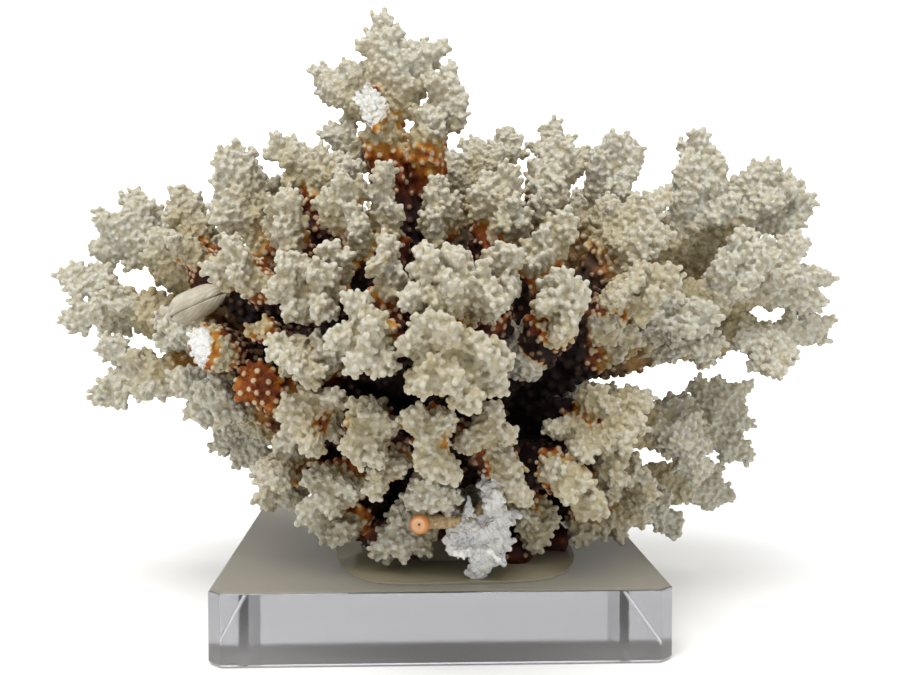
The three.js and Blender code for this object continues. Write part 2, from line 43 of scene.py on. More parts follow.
# ---------------------------------------------------------------- camera
# The view is from straight ahead, a little above the middle of the coral and
# close to it, so that the near limbs look larger than the far ones.
EYE = np.array([-11.1, -438.3, 122.8]) * MM
TURN_RIGHT, LOOK_DOWN = math.radians(2.15), math.radians(2.56)
camera = bpy.data.objects.new("camera", bpy.data.cameras.new("camera"))
scene.collection.objects.link(camera)
camera.location = EYE
camera.rotation_euler = (math.radians(90) - LOOK_DOWN, 0, -TURN_RIGHT)
camera.data.sensor_width = 36
camera.data.lens = 45.2
camera.data.clip_start = 0.02
scene.camera = camera
scene.view_settings.view_transform = "Standard"

# ---------------------------------------------------------------- studio
# A white sweep that runs from the floor up behind, a broad soft light above
# the camera, and a strong one behind the coral that washes the sweep.


def linear(code):
    """An sRGB hex colour as linear red, green, blue and alpha."""
    values = [int(code[i:i + 2], 16) / 255 for i in (0, 2, 4)]
    return [v / 12.92 if v <= 0.04045 else ((v + 0.055) / 1.055) ** 2.4 for v in values] + [1]


def add_node(tree, kind, settings=None, **links):
    """One shader node of a kind, such as Math. settings are its own values, with a colour ramp's
    stops as (place, sRGB hex). links are what its inputs take, by name with spaces as underscores
    or by number as in_0: a value, a socket, or a node, whose first output in use is taken."""
    new = tree.nodes.new("ShaderNode" + kind)
    for key, value in (settings or {}).items():
        if key == "stops":
            bar = new.color_ramp.elements
            while len(bar) < len(value):
                bar.new(0.5)
            for element, (place, code) in zip(bar, value):
                element.position = place
                element.color = linear(code)
        else:
            setattr(new, key, value)
    for key, value in links.items():
        socket = new.inputs[int(key[3:])] if key.startswith("in_") else new.inputs[key.replace("_", " ")]
        if isinstance(value, bpy.types.Node):
            value = next(output for output in value.outputs if output.enabled)
        if isinstance(value, bpy.types.NodeSocket):
            tree.links.new(value, socket)
        else:
            socket.default_value = value
    return new


def new_material(name):
    """An empty node material, and its tree and output node."""
    material = bpy.data.materials.new(name)
    material.use_nodes = True
    material.node_tree.nodes.clear()
    tree = material.node_tree
    return material, tree, tree.nodes.new("ShaderNodeOutputMaterial")


def mesh_object(name, points, faces, smooth=True):
    """A mesh object at the origin from points in metres and lists of faces."""
    mesh = bpy.data.meshes.new(name)
    mesh.from_pydata(np.asarray(points, float), [], faces)
    mesh.polygons.foreach_set("use_smooth", [smooth] * len(mesh.polygons))
    piece = bpy.data.objects.new(name, mesh)
    scene.collection.objects.link(piece)
    return piece


def grid_faces(rows, columns, wrap):
    """Faces of a grid of points. Row r, column c is point r * columns + c. wrap joins the last
    column to the first."""
    r, c = np.meshgrid(np.arange(rows - 1), np.arange(columns if wrap else columns - 1), indexing="ij")
    here, right = r * columns + c, r * columns + (c + 1) % columns
    return np.stack([here, right, right + columns, here + columns], -1).reshape(-1, 4)


FLOOR_DROP = 0.0005
SWEEP_HALF, SWEEP_FRONT, SWEEP_BACK, SWEEP_RADIUS = 6.0, -6.0, 3.0, 2.0
sweep_turn = np.linspace(0, math.pi / 2, 25)
sweep_y = np.concatenate([[SWEEP_FRONT], SWEEP_BACK + SWEEP_RADIUS * np.sin(sweep_turn), [5.0]])
sweep_z = np.concatenate([[0], SWEEP_RADIUS * (1 - np.cos(sweep_turn)), [8.0]]) - FLOOR_DROP
sweep_x = np.array([-SWEEP_HALF, SWEEP_HALF])
sweep_points = np.stack(np.broadcast_arrays(sweep_x[None, :], sweep_y[:, None], sweep_z[:, None]), -1)
floor = mesh_object("studio_sweep", sweep_points.reshape(-1, 3), grid_faces(len(sweep_y), 2, False).tolist())
material, tree, out = new_material("white painted sweep")
paint = add_node(tree, "BsdfPrincipled", Base_Color=linear("fbfbfa"), Roughness=0.9)
tree.links.new(paint.outputs[0], out.inputs[0])
floor.data.materials.append(material)

world = bpy.data.worlds.new("studio")
world.use_nodes = True
world.node_tree.nodes["Background"].inputs["Color"].default_value = linear("ffffff")
world.node_tree.nodes["Background"].inputs["Strength"].default_value = 0.73
scene.world = world


def soft_light(name, place, target, size, watts):
    """A square soft box at place, facing target, all in metres."""
    light = bpy.data.objects.new(name, bpy.data.lights.new(name, "AREA"))
    light.data.shape = "SQUARE"
    light.data.size = size
    light.data.energy = watts
    light.location = place
    away = np.array(place) - np.array(target)
    flat = math.hypot(away[0], away[1])
    light.rotation_euler = (math.atan2(flat, away[2]), 0, math.atan2(away[0], -away[1]))
    scene.collection.objects.link(light)


soft_light("key_above_camera", (-0.2, -0.75, 1.35), (0, 0, 0.12), 0.8, 16.5)
soft_light("backdrop_wash", (0, 1.2, 2.4), (0, 4.5, 1.0), 2.0, 190)

# ---------------------------------------------------------------- acrylic block and pad
# A square block of clear cast acrylic with flame-polished sides and small
# chamfers. Its top face carries a taupe painted shade, a dull film that stands
# in for the shaded floor and coral seen through it, and its underside a pale
# sheet of painted light that stands in for light coming up through the block. A
# little pad of the same packs up the coral's foot.

# The heights between which the sheen gives way to the taupe painted shade at
# the top face, which is 24.5 mm up, and to the pale painted light at the
# underside.
TOP_EDGE = dict(From_Min=0.0238, From_Max=0.0243)
FOOT_EDGE = dict(From_Min=0.0003, From_Max=0.0006)

# Cast acrylic is glass-clear with a faint grey tint through its thickness.
material, tree, out = new_material("clear cast acrylic")
coord = add_node(tree, "TexCoord").outputs["Object"]
height = add_node(tree, "SeparateXYZ", Vector=coord).outputs["Z"]
polish = add_node(tree, "MapRange", Value=height, To_Min=0.05, To_Max=0.5, **TOP_EDGE)
acrylic = add_node(tree, "BsdfPrincipled", Base_Color=linear("fbfbf8"), IOR=1.49,
                   Transmission_Weight=1.0, Roughness=polish)
# Painted shade: a taupe diffuse film over the top face, for the shaded floor and coral seen through it.
taupe_painted_shade = add_node(tree, "BsdfDiffuse", Color=linear("aaa188"))
haze = add_node(tree, "BsdfTranslucent", Color=linear("f2f0ea"))
painted_shade_film = add_node(tree, "MixShader", in_0=0.6, in_1=taupe_painted_shade, in_2=haze)
underside = add_node(tree, "MapRange", Value=height, To_Min=0.5, To_Max=0.0, **FOOT_EDGE)
top_face = add_node(tree, "MapRange", Value=height, To_Min=0.0, To_Max=0.82, **TOP_EDGE)
# Painted light: a pale diffuse sheet on the underside, for light coming up through the block.
underside_painted_light = add_node(tree, "BsdfDiffuse", Color=linear("c2c1c6"))
surface = add_node(tree, "MixShader", in_0=underside, in_1=acrylic, in_2=underside_painted_light)
surface = add_node(tree, "MixShader", in_0=top_face, in_1=surface, in_2=painted_shade_film)
absorb = add_node(tree, "VolumeAbsorption", Color=linear("dbdbdf"), Density=18.0)
tree.links.new(surface.outputs[0], out.inputs["Surface"])
tree.links.new(absorb.outputs[0], out.inputs["Volume"])
for name in ("display_block", "riser_pad"):
    nodes[name].data.materials.clear()
    nodes[name].data.materials.append(material)

# ---------------------------------------------------------------- glue
# The clear glue that ran out round the foot and set as a thin glossy bead, with a touch of the block top's
# taupe painted shade mixed in.
material, tree, out = new_material("set clear glue")
clear = add_node(tree, "BsdfPrincipled", Base_Color=linear("f6f4ee"), IOR=1.46,
                 Transmission_Weight=1.0, Roughness=0.12)
# Painted shade: a little of the same taupe as the block's top face.
taupe_glue_shade = add_node(tree, "BsdfDiffuse", Color=linear("9b927b"))
glue = add_node(tree, "MixShader", in_0=0.93, in_1=clear, in_2=taupe_glue_shade)
tree.links.new(glue.outputs[0], out.inputs["Surface"])
nodes["glue_bead"].data.materials.clear()
nodes["glue_bead"].data.materials.append(material)

# ---------------------------------------------------------------- coral
# The skeleton of a cauliflower coral: dry aragonite, dull and off-white, set
# all over with knobs 2 to 3 mm across, and stained golden, rust and
# brown-black towards the middle, the brown-black partly painted shade. It grew
# from the holdfast outwards.

# HEART is the middle it grew from. The knobs stand KNOB_SPACING apart, and a
# knob's paleness fades over KNOB_REACH. The two voxels and the share of faces
# that is kept set how fine the skin is. All of them are in mm but the last.
HEART = np.array([2.0, -4.0, 64.0])
KNOB_SPACING, KNOB_REACH = 2.1, 2.2
BASE_VOXEL, SKIN_VOXEL, KEEP = 1.0, 0.45, 0.129

# Bleached aragonite is a warm chalky white on the knobs, with straw-coloured
# hollows that are darkened further by painted shade. Old tissue stains run
# through amber and rust to brown-black, the brown-black partly painted shade
# for the shaded middle, and the knobs stay pale among them. Each knob's sugary
# skin scatters light.
# Its patterns are in repeats a metre: stains drift over some 14 mm, mottling
# over 4 mm and grit over 0.7 mm, and granules are just under 2 mm across.
DRIFTS, MOTTLES, GRITS, GRANULES = 70.0, 260.0, 1500.0, 520.0
MULTIPLY, MULTIPLY_ADD = dict(operation="MULTIPLY"), dict(operation="MULTIPLY_ADD")
SMOOTH, COLOURS = dict(interpolation_type="SMOOTHSTEP"), dict(data_type="RGBA")
material, tree, out = new_material("dry stony coral")
coord = add_node(tree, "TexCoord").outputs["Object"]
knob = add_node(tree, "Attribute", dict(attribute_name="knob")).outputs["Fac"]
inward = add_node(tree, "Attribute", dict(attribute_name="inward")).outputs["Fac"]
rust = add_node(tree, "Attribute", dict(attribute_name="rust")).outputs["Fac"]
chalk = add_node(tree, "Attribute", dict(attribute_name="fracture")).outputs["Fac"]
drift = add_node(tree, "TexNoise", Vector=coord, Scale=DRIFTS, Detail=2.0)
mottle = add_node(tree, "TexNoise", Vector=coord, Scale=MOTTLES, Detail=4.0, Roughness=0.65)
grain = add_node(tree, "TexNoise", Vector=coord, Scale=GRITS, Detail=3.0)
cell = add_node(tree, "TexVoronoi", Vector=coord, Scale=GRANULES, Randomness=0.85)

# How deep the stain is, from 0 to 1: the share of inward, broken up by drift
# and mottle.
stain = add_node(tree, "Math", MULTIPLY_ADD, in_0=drift, in_1=0.7, in_2=inward)
stain = add_node(tree, "Math", MULTIPLY_ADD, in_0=mottle, in_1=0.5, in_2=stain)
stain = add_node(tree, "Math", dict(operation="ADD", use_clamp=True), in_0=stain, in_1=-0.35)
onset = add_node(tree, "MapRange", SMOOTH, Value=stain, From_Min=0.2, From_Max=0.34)

# Granules are low domes, 1 - 1.7 * distance ^ 2 across each cell, and show
# only on the outer, younger parts.
grown = add_node(tree, "MapRange", SMOOTH, Value=inward, From_Min=0.4, From_Max=-0.2)
dome = add_node(tree, "Math", MULTIPLY, in_0=cell, in_1=cell)
dome = add_node(tree, "Math", dict(operation="MULTIPLY_ADD", use_clamp=True), in_0=dome, in_1=-1.7,
                in_2=1.0)
dome = add_node(tree, "Math", MULTIPLY, in_0=dome, in_1=grown)

# The outer white is palest on the tops of knobs and domes and darker in the
# hollows between, partly straw colour and partly painted shade, and it yellows
# and darkens towards the stain, partly painted shade for the shaded inner parts.
hollow_straw_and_shade = add_node(tree, "Math", MULTIPLY, in_0=knob, in_1=0.65)
hollow_straw_and_shade = add_node(tree, "Math", MULTIPLY_ADD, in_0=mottle, in_1=0.5, in_2=hollow_straw_and_shade)
hollow_straw_and_shade = add_node(tree, "Math", MULTIPLY_ADD, in_0=dome, in_1=0.32, in_2=hollow_straw_and_shade)
stops = [(0.2, "a99e81"), (0.45, "bab39d"), (0.8, "c4c1b3"), (1.0, "c9c6bb")]
outer = add_node(tree, "ValToRGB", dict(stops=stops), in_0=hollow_straw_and_shade)
# Painted shade: darker and yellower towards the lobe bases and the middle, where the colony shades itself, on
# top of the real yellowing.
yellowing_and_inner_shade = add_node(tree, "MapRange", SMOOTH, Value=inward, From_Min=-0.75, From_Max=-0.05, To_Max=0.6)
outer = add_node(tree, "Mix", COLOURS, in_0=yellowing_and_inner_shade, in_6=outer, in_7=linear("a29163"))

# The stain is rust on some limbs and olive on others, and paler on the knobs.
# Its brown-black end is partly real stain and partly painted shade for the shaded middle.
stops = [(0.2, "b9aa7e"), (0.29, "b78c40"), (0.39, "a6641a"), (0.49, "7b3811"), (0.6, "45190d"),
         (0.76, "190a07")]
deep = add_node(tree, "ValToRGB", dict(stops=stops), in_0=stain)
stops = [(0.2, "ab9f7a"), (0.36, "8f7e55"), (0.6, "665537"), (0.9, "2c2015")]
olive = add_node(tree, "ValToRGB", dict(stops=stops), in_0=stain)
stops = [(0.3, "c6bfa8"), (0.5, "b9a482"), (0.7, "8a6a4c"), (0.85, "553828"), (1.0, "2e1b14")]
pale = add_node(tree, "ValToRGB", dict(stops=stops), in_0=stain)
stained = add_node(tree, "Mix", COLOURS, in_0=rust, in_6=olive, in_7=deep)
ground = add_node(tree, "Mix", COLOURS, in_0=onset, in_6=outer, in_7=stained)
tops = add_node(tree, "MapRange", SMOOTH, Value=knob, From_Min=0.36, From_Max=0.66)
coloured = add_node(tree, "Mix", COLOURS, in_0=tops, in_6=ground, in_7=pale)
coloured = add_node(tree, "Mix", COLOURS, in_0=onset, in_6=ground, in_7=coloured)

# A fresh break is clean white, made brighter still as painted light for a face the lamps leave in shade, with
# fine ribs about 1.2 mm apart.
face = add_node(tree, "Math", MULTIPLY, in_0=grain, in_1=0.4)
face = add_node(tree, "Math", MULTIPLY_ADD, in_0=mottle, in_1=0.6, in_2=face)
stops = [(0.36, "cac8c0"), (0.47, "e3e2de"), (0.6, "eeedea")]
snapped = add_node(tree, "ValToRGB", dict(stops=stops), in_0=face)
coloured = add_node(tree, "Mix", COLOURS, in_0=chalk, in_6=coloured, in_7=snapped)
ribs = add_node(tree, "TexWave", dict(bands_direction="DIAGONAL"), Vector=coord, Scale=300.0,
                Distortion=6.0, Detail=2.0, Detail_Scale=1.5).outputs["Fac"]
ribs = add_node(tree, "Math", MULTIPLY, in_0=ribs, in_1=1.6)
relief = add_node(tree, "Math", MULTIPLY_ADD, in_0=mottle, in_1=2.0, in_2=grain)
relief = add_node(tree, "Math", MULTIPLY_ADD, in_0=dome, in_1=6.5, in_2=relief)
relief = add_node(tree, "Math", MULTIPLY_ADD, in_0=ribs, in_1=chalk, in_2=relief)
bump = add_node(tree, "Bump", Strength=0.6, Distance=0.0002, Height=relief)
coral_skin = add_node(tree, "BsdfPrincipled", Base_Color=coloured, Roughness=0.7,
                      Specular_IOR_Level=0.3, Normal=bump, Subsurface_Weight=0.4,
                      Subsurface_Radius=(1.0, 0.8, 0.5), Subsurface_Scale=0.0018)
tree.links.new(coral_skin.outputs[0], out.inputs["Surface"])
CORAL = material


def swept(path, radii, broad, flatness, sides=12):
    """A closed tube of elliptical section carried along a path of points. Ring i is
    path[i] + radii[i] * (cos a * broad + sin a * flatness * across), with a point at each end."""
    along = np.gradient(path, axis=0)
    along /= np.linalg.norm(along, axis=1, keepdims=True)
    across = np.cross(along, broad)
    across /= np.linalg.norm(across, axis=1, keepdims=True)
    wide = np.cross(across, along)
    turn = np.arange(sides) * 2 * math.pi / sides
    rings = path[:, None] + radii[:, None, None] * (
        np.cos(turn)[None, :, None] * wide[:, None]
        + flatness * np.sin(turn)[None, :, None] * across[:, None])
    count = len(path)
    tips = np.stack([path[0] - along[0] * radii[0] * 0.5, path[-1] + along[-1] * radii[-1] * 0.5])
    points = np.concatenate([rings.reshape(-1, 3), tips])
    side = np.arange(sides)
    following = (side + 1) % sides
    start = np.stack([following, side, np.full(sides, count * sides)], 1)
    last = (count - 1) * sides
    end = np.stack([last + side, last + following, np.full(sides, count * sides + 1)], 1)
    quads = grid_faces(count, sides, True)
    return points, np.concatenate([quads[:, [0, 1, 2]], quads[:, [0, 2, 3]], start, end])


def joined(parts):
    """Several (points, triangles) as one."""
    starts = np.cumsum([0] + [len(points) for points, _ in parts[:-1]])
    return (np.concatenate([points for points, _ in parts]),
            np.concatenate([faces + start for (_, faces), start in zip(parts, starts)]))


def skinned(points, faces, voxel, smoothing, keep=1.0):
    """One closed skin over overlapping closed shapes: remeshed at voxel mm, smoothed, and thinned
    to the share keep. Returns its mesh, still in mm."""
    mesh = bpy.data.meshes.new("skin")
    mesh.from_pydata(points, [], faces.tolist())
    piece = bpy.data.objects.new("skin", mesh)
    scene.collection.objects.link(piece)
    remesh = piece.modifiers.new("remesh", "REMESH")
    remesh.mode = "VOXEL"
    remesh.voxel_size = voxel
    smooth = piece.modifiers.new("smooth", "SMOOTH")
    smooth.factor = 0.5
    smooth.iterations = smoothing
    if keep < 1:
        thin = piece.modifiers.new("thin", "DECIMATE")
        thin.ratio = keep
    graph = bpy.context.evaluated_depsgraph_get()
    skin = bpy.data.meshes.new_from_object(piece.evaluated_get(graph))
    skin.validate()
    bpy.data.objects.remove(piece)
    bpy.data.meshes.remove(mesh)
    return skin


def mesh_arrays(mesh):
    """A mesh's points, point normals and triangles as arrays."""
    points = np.empty(len(mesh.vertices) * 3)
    mesh.vertices.foreach_get("co", points)
    normals = np.empty(len(mesh.vertices) * 3)
    mesh.vertices.foreach_get("normal", normals)
    mesh.calc_loop_triangles()
    triangles = np.empty(len(mesh.loop_triangles) * 3, int)
    mesh.loop_triangles.foreach_get("vertices", triangles)
    return points.reshape(-1, 3), normals.reshape(-1, 3), triangles.reshape(-1, 3)


def tree_of(spots):
    """A search tree over spots."""
    tree = kdtree.KDTree(len(spots))
    for i, spot in enumerate(spots):
        tree.insert(spot, i)
    tree.balance()
    return tree


def scattered(points, normals, triangles, spacing, rng):
    """Spots spread over a surface, none nearer another than its own spacing: random spots by area,
    five for each place to fill, each kept only if no kept spot is too near. spacing(spots) gives
    the least distance at each."""
    tries = 5
    a, b, c = (points[triangles[:, i]] for i in range(3))
    area = np.linalg.norm(np.cross(b - a, c - a), axis=1) / 2
    count = int(area.sum() / KNOB_SPACING ** 2 * tries)
    chosen = rng.choice(len(area), count, p=area / area.sum())
    u, v = rng.random((2, count, 1))
    flip = u + v > 1
    u, v = np.where(flip, 1 - u, u), np.where(flip, 1 - v, v)
    spots = a[chosen] * (1 - u - v) + b[chosen] * u + c[chosen] * v
    facing = normals[triangles[chosen, 0]]
    least = spacing(spots)
    tree = tree_of(spots)
    free = np.ones(count, bool)
    kept = []
    for i in range(count):
        if free[i]:
            kept.append(i)
            free[[index for _, index, _ in tree.find_range(spots[i], least[i])]] = False
    return spots[kept], facing[kept]


def knobs(spots, leaning, radius, height):
    """Closed round-ended knobs standing on the spots, six-sided: ring k of a knob has radius
    radius * rings[k, 1], at radius * rings[k, 0] below the spot or height * rings[k, 0] above."""
    rings = np.array([[-0.8, 1.0], [0.0, 1.0], [0.45, 1.08], [0.78, 0.98], [0.96, 0.6]])
    sides = 6
    turn = np.arange(sides) * 2 * math.pi / sides
    helper = np.where(np.abs(leaning[:, 2:]) < 0.8, [[0, 0, 1.0]], [[1.0, 0, 0]])
    side = np.cross(leaning, helper)
    side /= np.linalg.norm(side, axis=1, keepdims=True)
    other = np.cross(leaning, side)
    ring_height = np.where(rings[:, 0] < 0, rings[:, 0] * radius[:, None], rings[:, 0] * height[:, None])
    ring_radius = rings[:, 1] * radius[:, None]
    spoke = np.cos(turn)[None, :, None] * side[:, None] + np.sin(turn)[None, :, None] * other[:, None]
    body = (spots[:, None, None] + ring_height[..., None, None] * leaning[:, None, None]
            + ring_radius[..., None, None] * spoke[:, None])
    ends = np.stack([spots - leaning * radius[:, None], spots + leaning * height[:, None]], 1)
    points = np.concatenate([body.reshape(len(spots), -1, 3), ends], 1)
    count = len(rings)
    quads = grid_faces(count, sides, True)
    index = np.arange(sides)
    following = (index + 1) % sides
    last = (count - 1) * sides
    caps = [np.stack([following, index, np.full(sides, count * sides)], 1),
            np.stack([last + index, last + following, np.full(sides, count * sides + 1)], 1)]
    one = np.concatenate([quads[:, [0, 1, 2]], quads[:, [0, 2, 3]], *caps])[:, ::-1]
    faces = one[None] + (np.arange(len(spots)) * points.shape[1])[:, None, None]
    return points.reshape(-1, 3), faces.reshape(-1, 3)


def lobe_shape(fork, tip, breadth, broad, fingers, rng):
    """A lobe: a flattened tube that leaves the fork, swells to its full breadth near the end and
    rounds off, with short fingers, if any, fanned round the end in the lobe's broad plane."""
    axis = tip - fork
    length = np.linalg.norm(axis)
    axis /= length
    radius = breadth / 2 - 1.6
    run = np.array([0, 0.3, 0.6, 0.8, 0.92, 1.0])
    bow = rng.normal(0, 0.05 * length, 3)
    reach = max(length - breadth * 0.5, length * 0.55)
    path = fork + axis * (run * reach)[:, None] + bow * np.sin(run * math.pi)[:, None]
    radii = radius * np.array([0.8, 0.78, 0.88, 0.98, 0.9, 0.6])
    parts = [swept(path, radii, broad, 0.74)]
    if not fingers:
        return parts
    side = np.cross(axis, broad)
    side /= np.linalg.norm(side)
    wide = np.cross(side, axis)
    fan = np.array([-0.95, -0.35, 0.3, 0.9, -1.5, 1.45, -1.7, 1.7])
    back = np.array([0.75, 0.6, 0.6, 0.75, 0.85, 0.85, 1.4, 1.5]) * breadth
    for turn, set_back in zip(fan + rng.uniform(-0.3, 0.3, len(fan)), back):
        way = np.cos(turn) * axis + np.sin(turn) * wide + rng.normal(0, 0.4) * side
        way /= np.linalg.norm(way)
        steps = np.array([0, 0.5, 0.85, 1.0])
        start = tip - axis * min(set_back, length * 0.8)
        bud = start + way * (steps * (breadth * rng.uniform(0.42, 0.6) + 1.2))[:, None]
        thick = rng.uniform(1.7, 2.5)
        parts.append(swept(bud, thick * np.array([1.3, 1.1, 1.0, 0.6]), broad, 0.9, 8))
    return parts


def stem_shape(start, fork, thickness, rng):
    """A stem: a slightly bowed, uneven tube from inside the holdfast to the fork."""
    run = np.linspace(0, 1, 9)
    length = np.linalg.norm(fork - start)
    bow = rng.normal(0, 0.03 * length, 3)
    path = start + (fork - start) * run[:, None] + bow * np.sin(run * math.pi)[:, None]
    path += rng.normal(0, 0.5, path.shape)
    radii = thickness * np.interp(run, [0, 0.5, 1], [6.0, 6.6, 8.0]) * rng.uniform(0.9, 1.12, len(run))
    return swept(path, radii, np.array([0.3, 0.2, 1.0]), 0.9)


def nearest_on_lines(spots, lines):
    """For each spot, the nearest line's number, how far along it (0 to 1), and its direction."""
    best = np.full(len(spots), np.inf)
    number = np.zeros(len(spots), int)
    share = np.zeros(len(spots))
    way = np.zeros((len(spots), 3))
    for i, (start, end) in enumerate(lines):
        axis = end - start
        t = np.clip((spots - start) @ axis / (axis @ axis), 0, 1)
        distance = np.linalg.norm(spots - (start + t[:, None] * axis), axis=1)
        nearer = distance < best
        best[nearer] = distance[nearer]
        number[nearer] = i
        share[nearer] = t[nearer]
        way[nearer] = axis / np.linalg.norm(axis)
    return number, share, way


def finish_coral(mesh, name, slot, **attributes):
    """Put a coral mesh in its place in metres, with its point attributes and material."""
    for key, values in attributes.items():
        mesh.attributes.new(key, "FLOAT", "POINT").data.foreach_set("value", values.astype(np.float32))
    mesh.transform(((MM, 0, 0, 0), (0, MM, 0, 0), (0, 0, MM, 0), (0, 0, 0, 1)))
    mesh.polygons.foreach_set("use_smooth", [True] * len(mesh.polygons))
    mesh.name = name
    mesh.materials.clear()
    mesh.materials.append(CORAL)
    piece = bpy.data.objects.new(name + "_coral", mesh)
    scene.collection.objects.link(piece)
    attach(piece, "root")
    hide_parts(name)
    return piece


def knobbed(base, lines, stem_count, rng, crowding=1.0, size=1.0):
    """Knobs spread over a base skin and skinned again. They stand close on the lobes and apart on
    the stems, and lean towards the lobe ends. Returns the mesh and each point's closeness to a
    knob's end, from 0 to 1."""
    points, normals, triangles = mesh_arrays(base)

    def spacing(spots):
        number, share, _ = nearest_on_lines(spots, lines)
        on_stem = np.interp(share, [0, 0.6, 1], [2.2, 1.5, 1.2]) * rng.uniform(0.7, 1.6, len(spots))
        return KNOB_SPACING * crowding * np.where(number < stem_count, on_stem, 1.0)

    spots, facing = scattered(points, normals, triangles, spacing, rng)
    number, share, way = nearest_on_lines(spots, lines)
    on_stem = number < stem_count
    outward = np.clip((facing * way).sum(1), 0, 1)
    leaning = facing + way * np.where(on_stem, 0.1, 0.85 * share)[:, None] + rng.normal(0, 0.13, facing.shape)
    leaning /= np.linalg.norm(leaning, axis=1, keepdims=True)
    radius = size * np.where(on_stem, rng.uniform(0.8, 1.9, len(spots)), rng.uniform(0.82, 1.28, len(spots)))
    tall = np.where(on_stem, 1.1 * radius, 1.15 + 0.2 * share + 0.75 * outward)
    height = size * tall * rng.uniform(0.82, 1.25, len(spots))
    skin_points, skin_faces = joined([(points, triangles), knobs(spots, leaning, radius, height)])
    mesh = skinned(skin_points, skin_faces, SKIN_VOXEL, 1, KEEP)
    bpy.data.meshes.remove(base)
    skin, _, _ = mesh_arrays(mesh)
    tree = tree_of(spots + leaning * height[:, None])
    gap = np.array([tree.find(point)[2] for point in skin])
    return mesh, skin, np.clip(1 - gap / KNOB_REACH, 0, 1)


def grow_limb(name, root, stems, reach, rust, slot="coral_cream", breaks=(), thickness=1.0,
              fingers=True, deepest=1.0, bareness=1.0, **knob_sizes):
    """One limb of coral: its stems and lobes skinned together, then knobbed. reach is how far out
    the stain runs, 0 to 1 on the stem and 1 to 2 on the lobes, and rust is how red it is. Each
    break is (centre, direction it faces, radius, cut): the cut share of what stood beyond it is
    snapped off, and the rest is bare white by bareness, with a stained rim."""
    rim_depth, rim_width, rim_stain = 4, 3.5, 0.1
    rng = np.random.default_rng(sum(map(ord, name)))
    root = np.array(root, float)
    parts, stem_lines, lobe_lines = [], [], []
    for fork, lobes in stems:
        fork = np.array(fork, float)
        start = root + (HEART - root) * 0.25
        parts.append(stem_shape(start, fork, thickness, rng))
        stem_lines.append((start, fork))
        for *tip, breadth in lobes:
            tip = np.array(tip, float)
            broad = np.cross(np.cross(fork - root, tip - fork), tip - fork)
            if np.linalg.norm(broad) < 1e-3:
                broad = np.array([0, 0, 1.0])
            parts += lobe_shape(fork, tip, breadth, broad / np.linalg.norm(broad), fingers, rng)
            lobe_lines.append((fork, tip))
    lines = stem_lines + lobe_lines
    base = skinned(*joined(parts), BASE_VOXEL, 2)
    mesh, skin, knob = knobbed(base, lines, len(stem_lines), rng, **knob_sizes)
    number, share, _ = nearest_on_lines(skin, lines)
    inward = np.minimum(reach - np.where(number < len(stem_lines), share, 1 + share), deepest)
    fracture = np.zeros(len(skin))
    for centre, facing, radius, cut in breaks:
        facing = np.array(facing) / np.linalg.norm(facing)
        offset = skin - centre
        height = offset @ facing
        beside = np.linalg.norm(offset - height[:, None] * facing, axis=1)
        beyond = (height > 0) & (beside < radius)
        skin[beyond] -= facing * (height[beyond] * cut)[:, None]
        fracture[beyond] = bareness
        rim = (height > -rim_depth) & (beside < radius + rim_width) & (fracture == 0)
        inward[rim] = np.maximum(inward[rim], rim_stain)
    mesh.vertices.foreach_set("co", skin.ravel())
    return finish_coral(mesh, name, slot, knob=knob, inward=inward, fracture=fracture,
                        rust=np.full(len(skin), float(rust)))


# ---------------------------------------------------------------- crown and upper left limbs
# The tallest limb, which stands clear of the rest on a bare stained stem, and
# the limbs that fan up and to the left below it.

# Roots, forks and lobe ends are in mm, and each lobe's fourth number is its
# breadth. The two numbers after a limb's stems are its stain's reach and rust.
# INNER_STAIN is that of the limbs whose lobes start red.
INNER_STAIN = 1.39, 1
grow_limb("crown_limb", (-6, -10, 94), [
    ((-20, -15, 186), [(-19, -17, 225, 17), (-16, -20, 216, 20), (0, -17, 216, 17), (-8, -19, 210, 18),
        (-48, 3, 205, 14), (-37, 2, 209, 16), (-24, -6, 203, 15), (-14, 8, 204, 15)]),
    ((-19, -10, 166), [(-42, -2, 184, 12)]),
    ((-21, -17, 180), [(-24, -36, 193, 15)]),
    ((-4, -20, 179), [(6, -22, 204, 15), (11, -20, 192, 12), (0, -26, 186, 10)])], 1.1, 1,
    breaks=[((-27, -26, 188), (0, -1, 0.2), 9, 0.93)], thickness=0.82, bareness=0.6)
grow_limb("upper_left_outer_limb", (-26, -12, 88), [
    ((-62, -30, 140), [(-74, -36, 174, 16), (-81, -34, 161, 14), (-80, -39, 151, 12),
        (-66, -24, 168, 13)])], 1.19, 0.7)
grow_limb("upper_left_inner_limb", (-16, -16, 94), [
    ((-43, -28, 146), [(-59, -32, 178, 13), (-48, -30, 174, 15), (-37, -34, 173, 15),
        (-29, -37, 166, 12), (-44, -16, 168, 14)])], *INNER_STAIN)
grow_limb("upper_left_front_limb", (-26, -24, 84), [
    ((-52, -44, 132), [(-51, -58, 156, 12), (-54, -60, 143, 11), (-57, -46, 150, 10)]),
    ((-60, -46, 124), [(-72, -64, 138, 13), (-68, -66, 128, 14), (-78, -58, 130, 11)])], 1.43, 1)
grow_limb("upper_front_limb", (-10, -24, 94), [
    ((-28, -48, 138), [(-33, -58, 162, 14), (-40, -58, 154, 12), (-28, -60, 150, 13),
        (-27, -64, 141, 10)]),
    ((-18, -44, 136), [(-21, -54, 165, 12), (-18, -54, 152, 13)])], 1.43, 1)

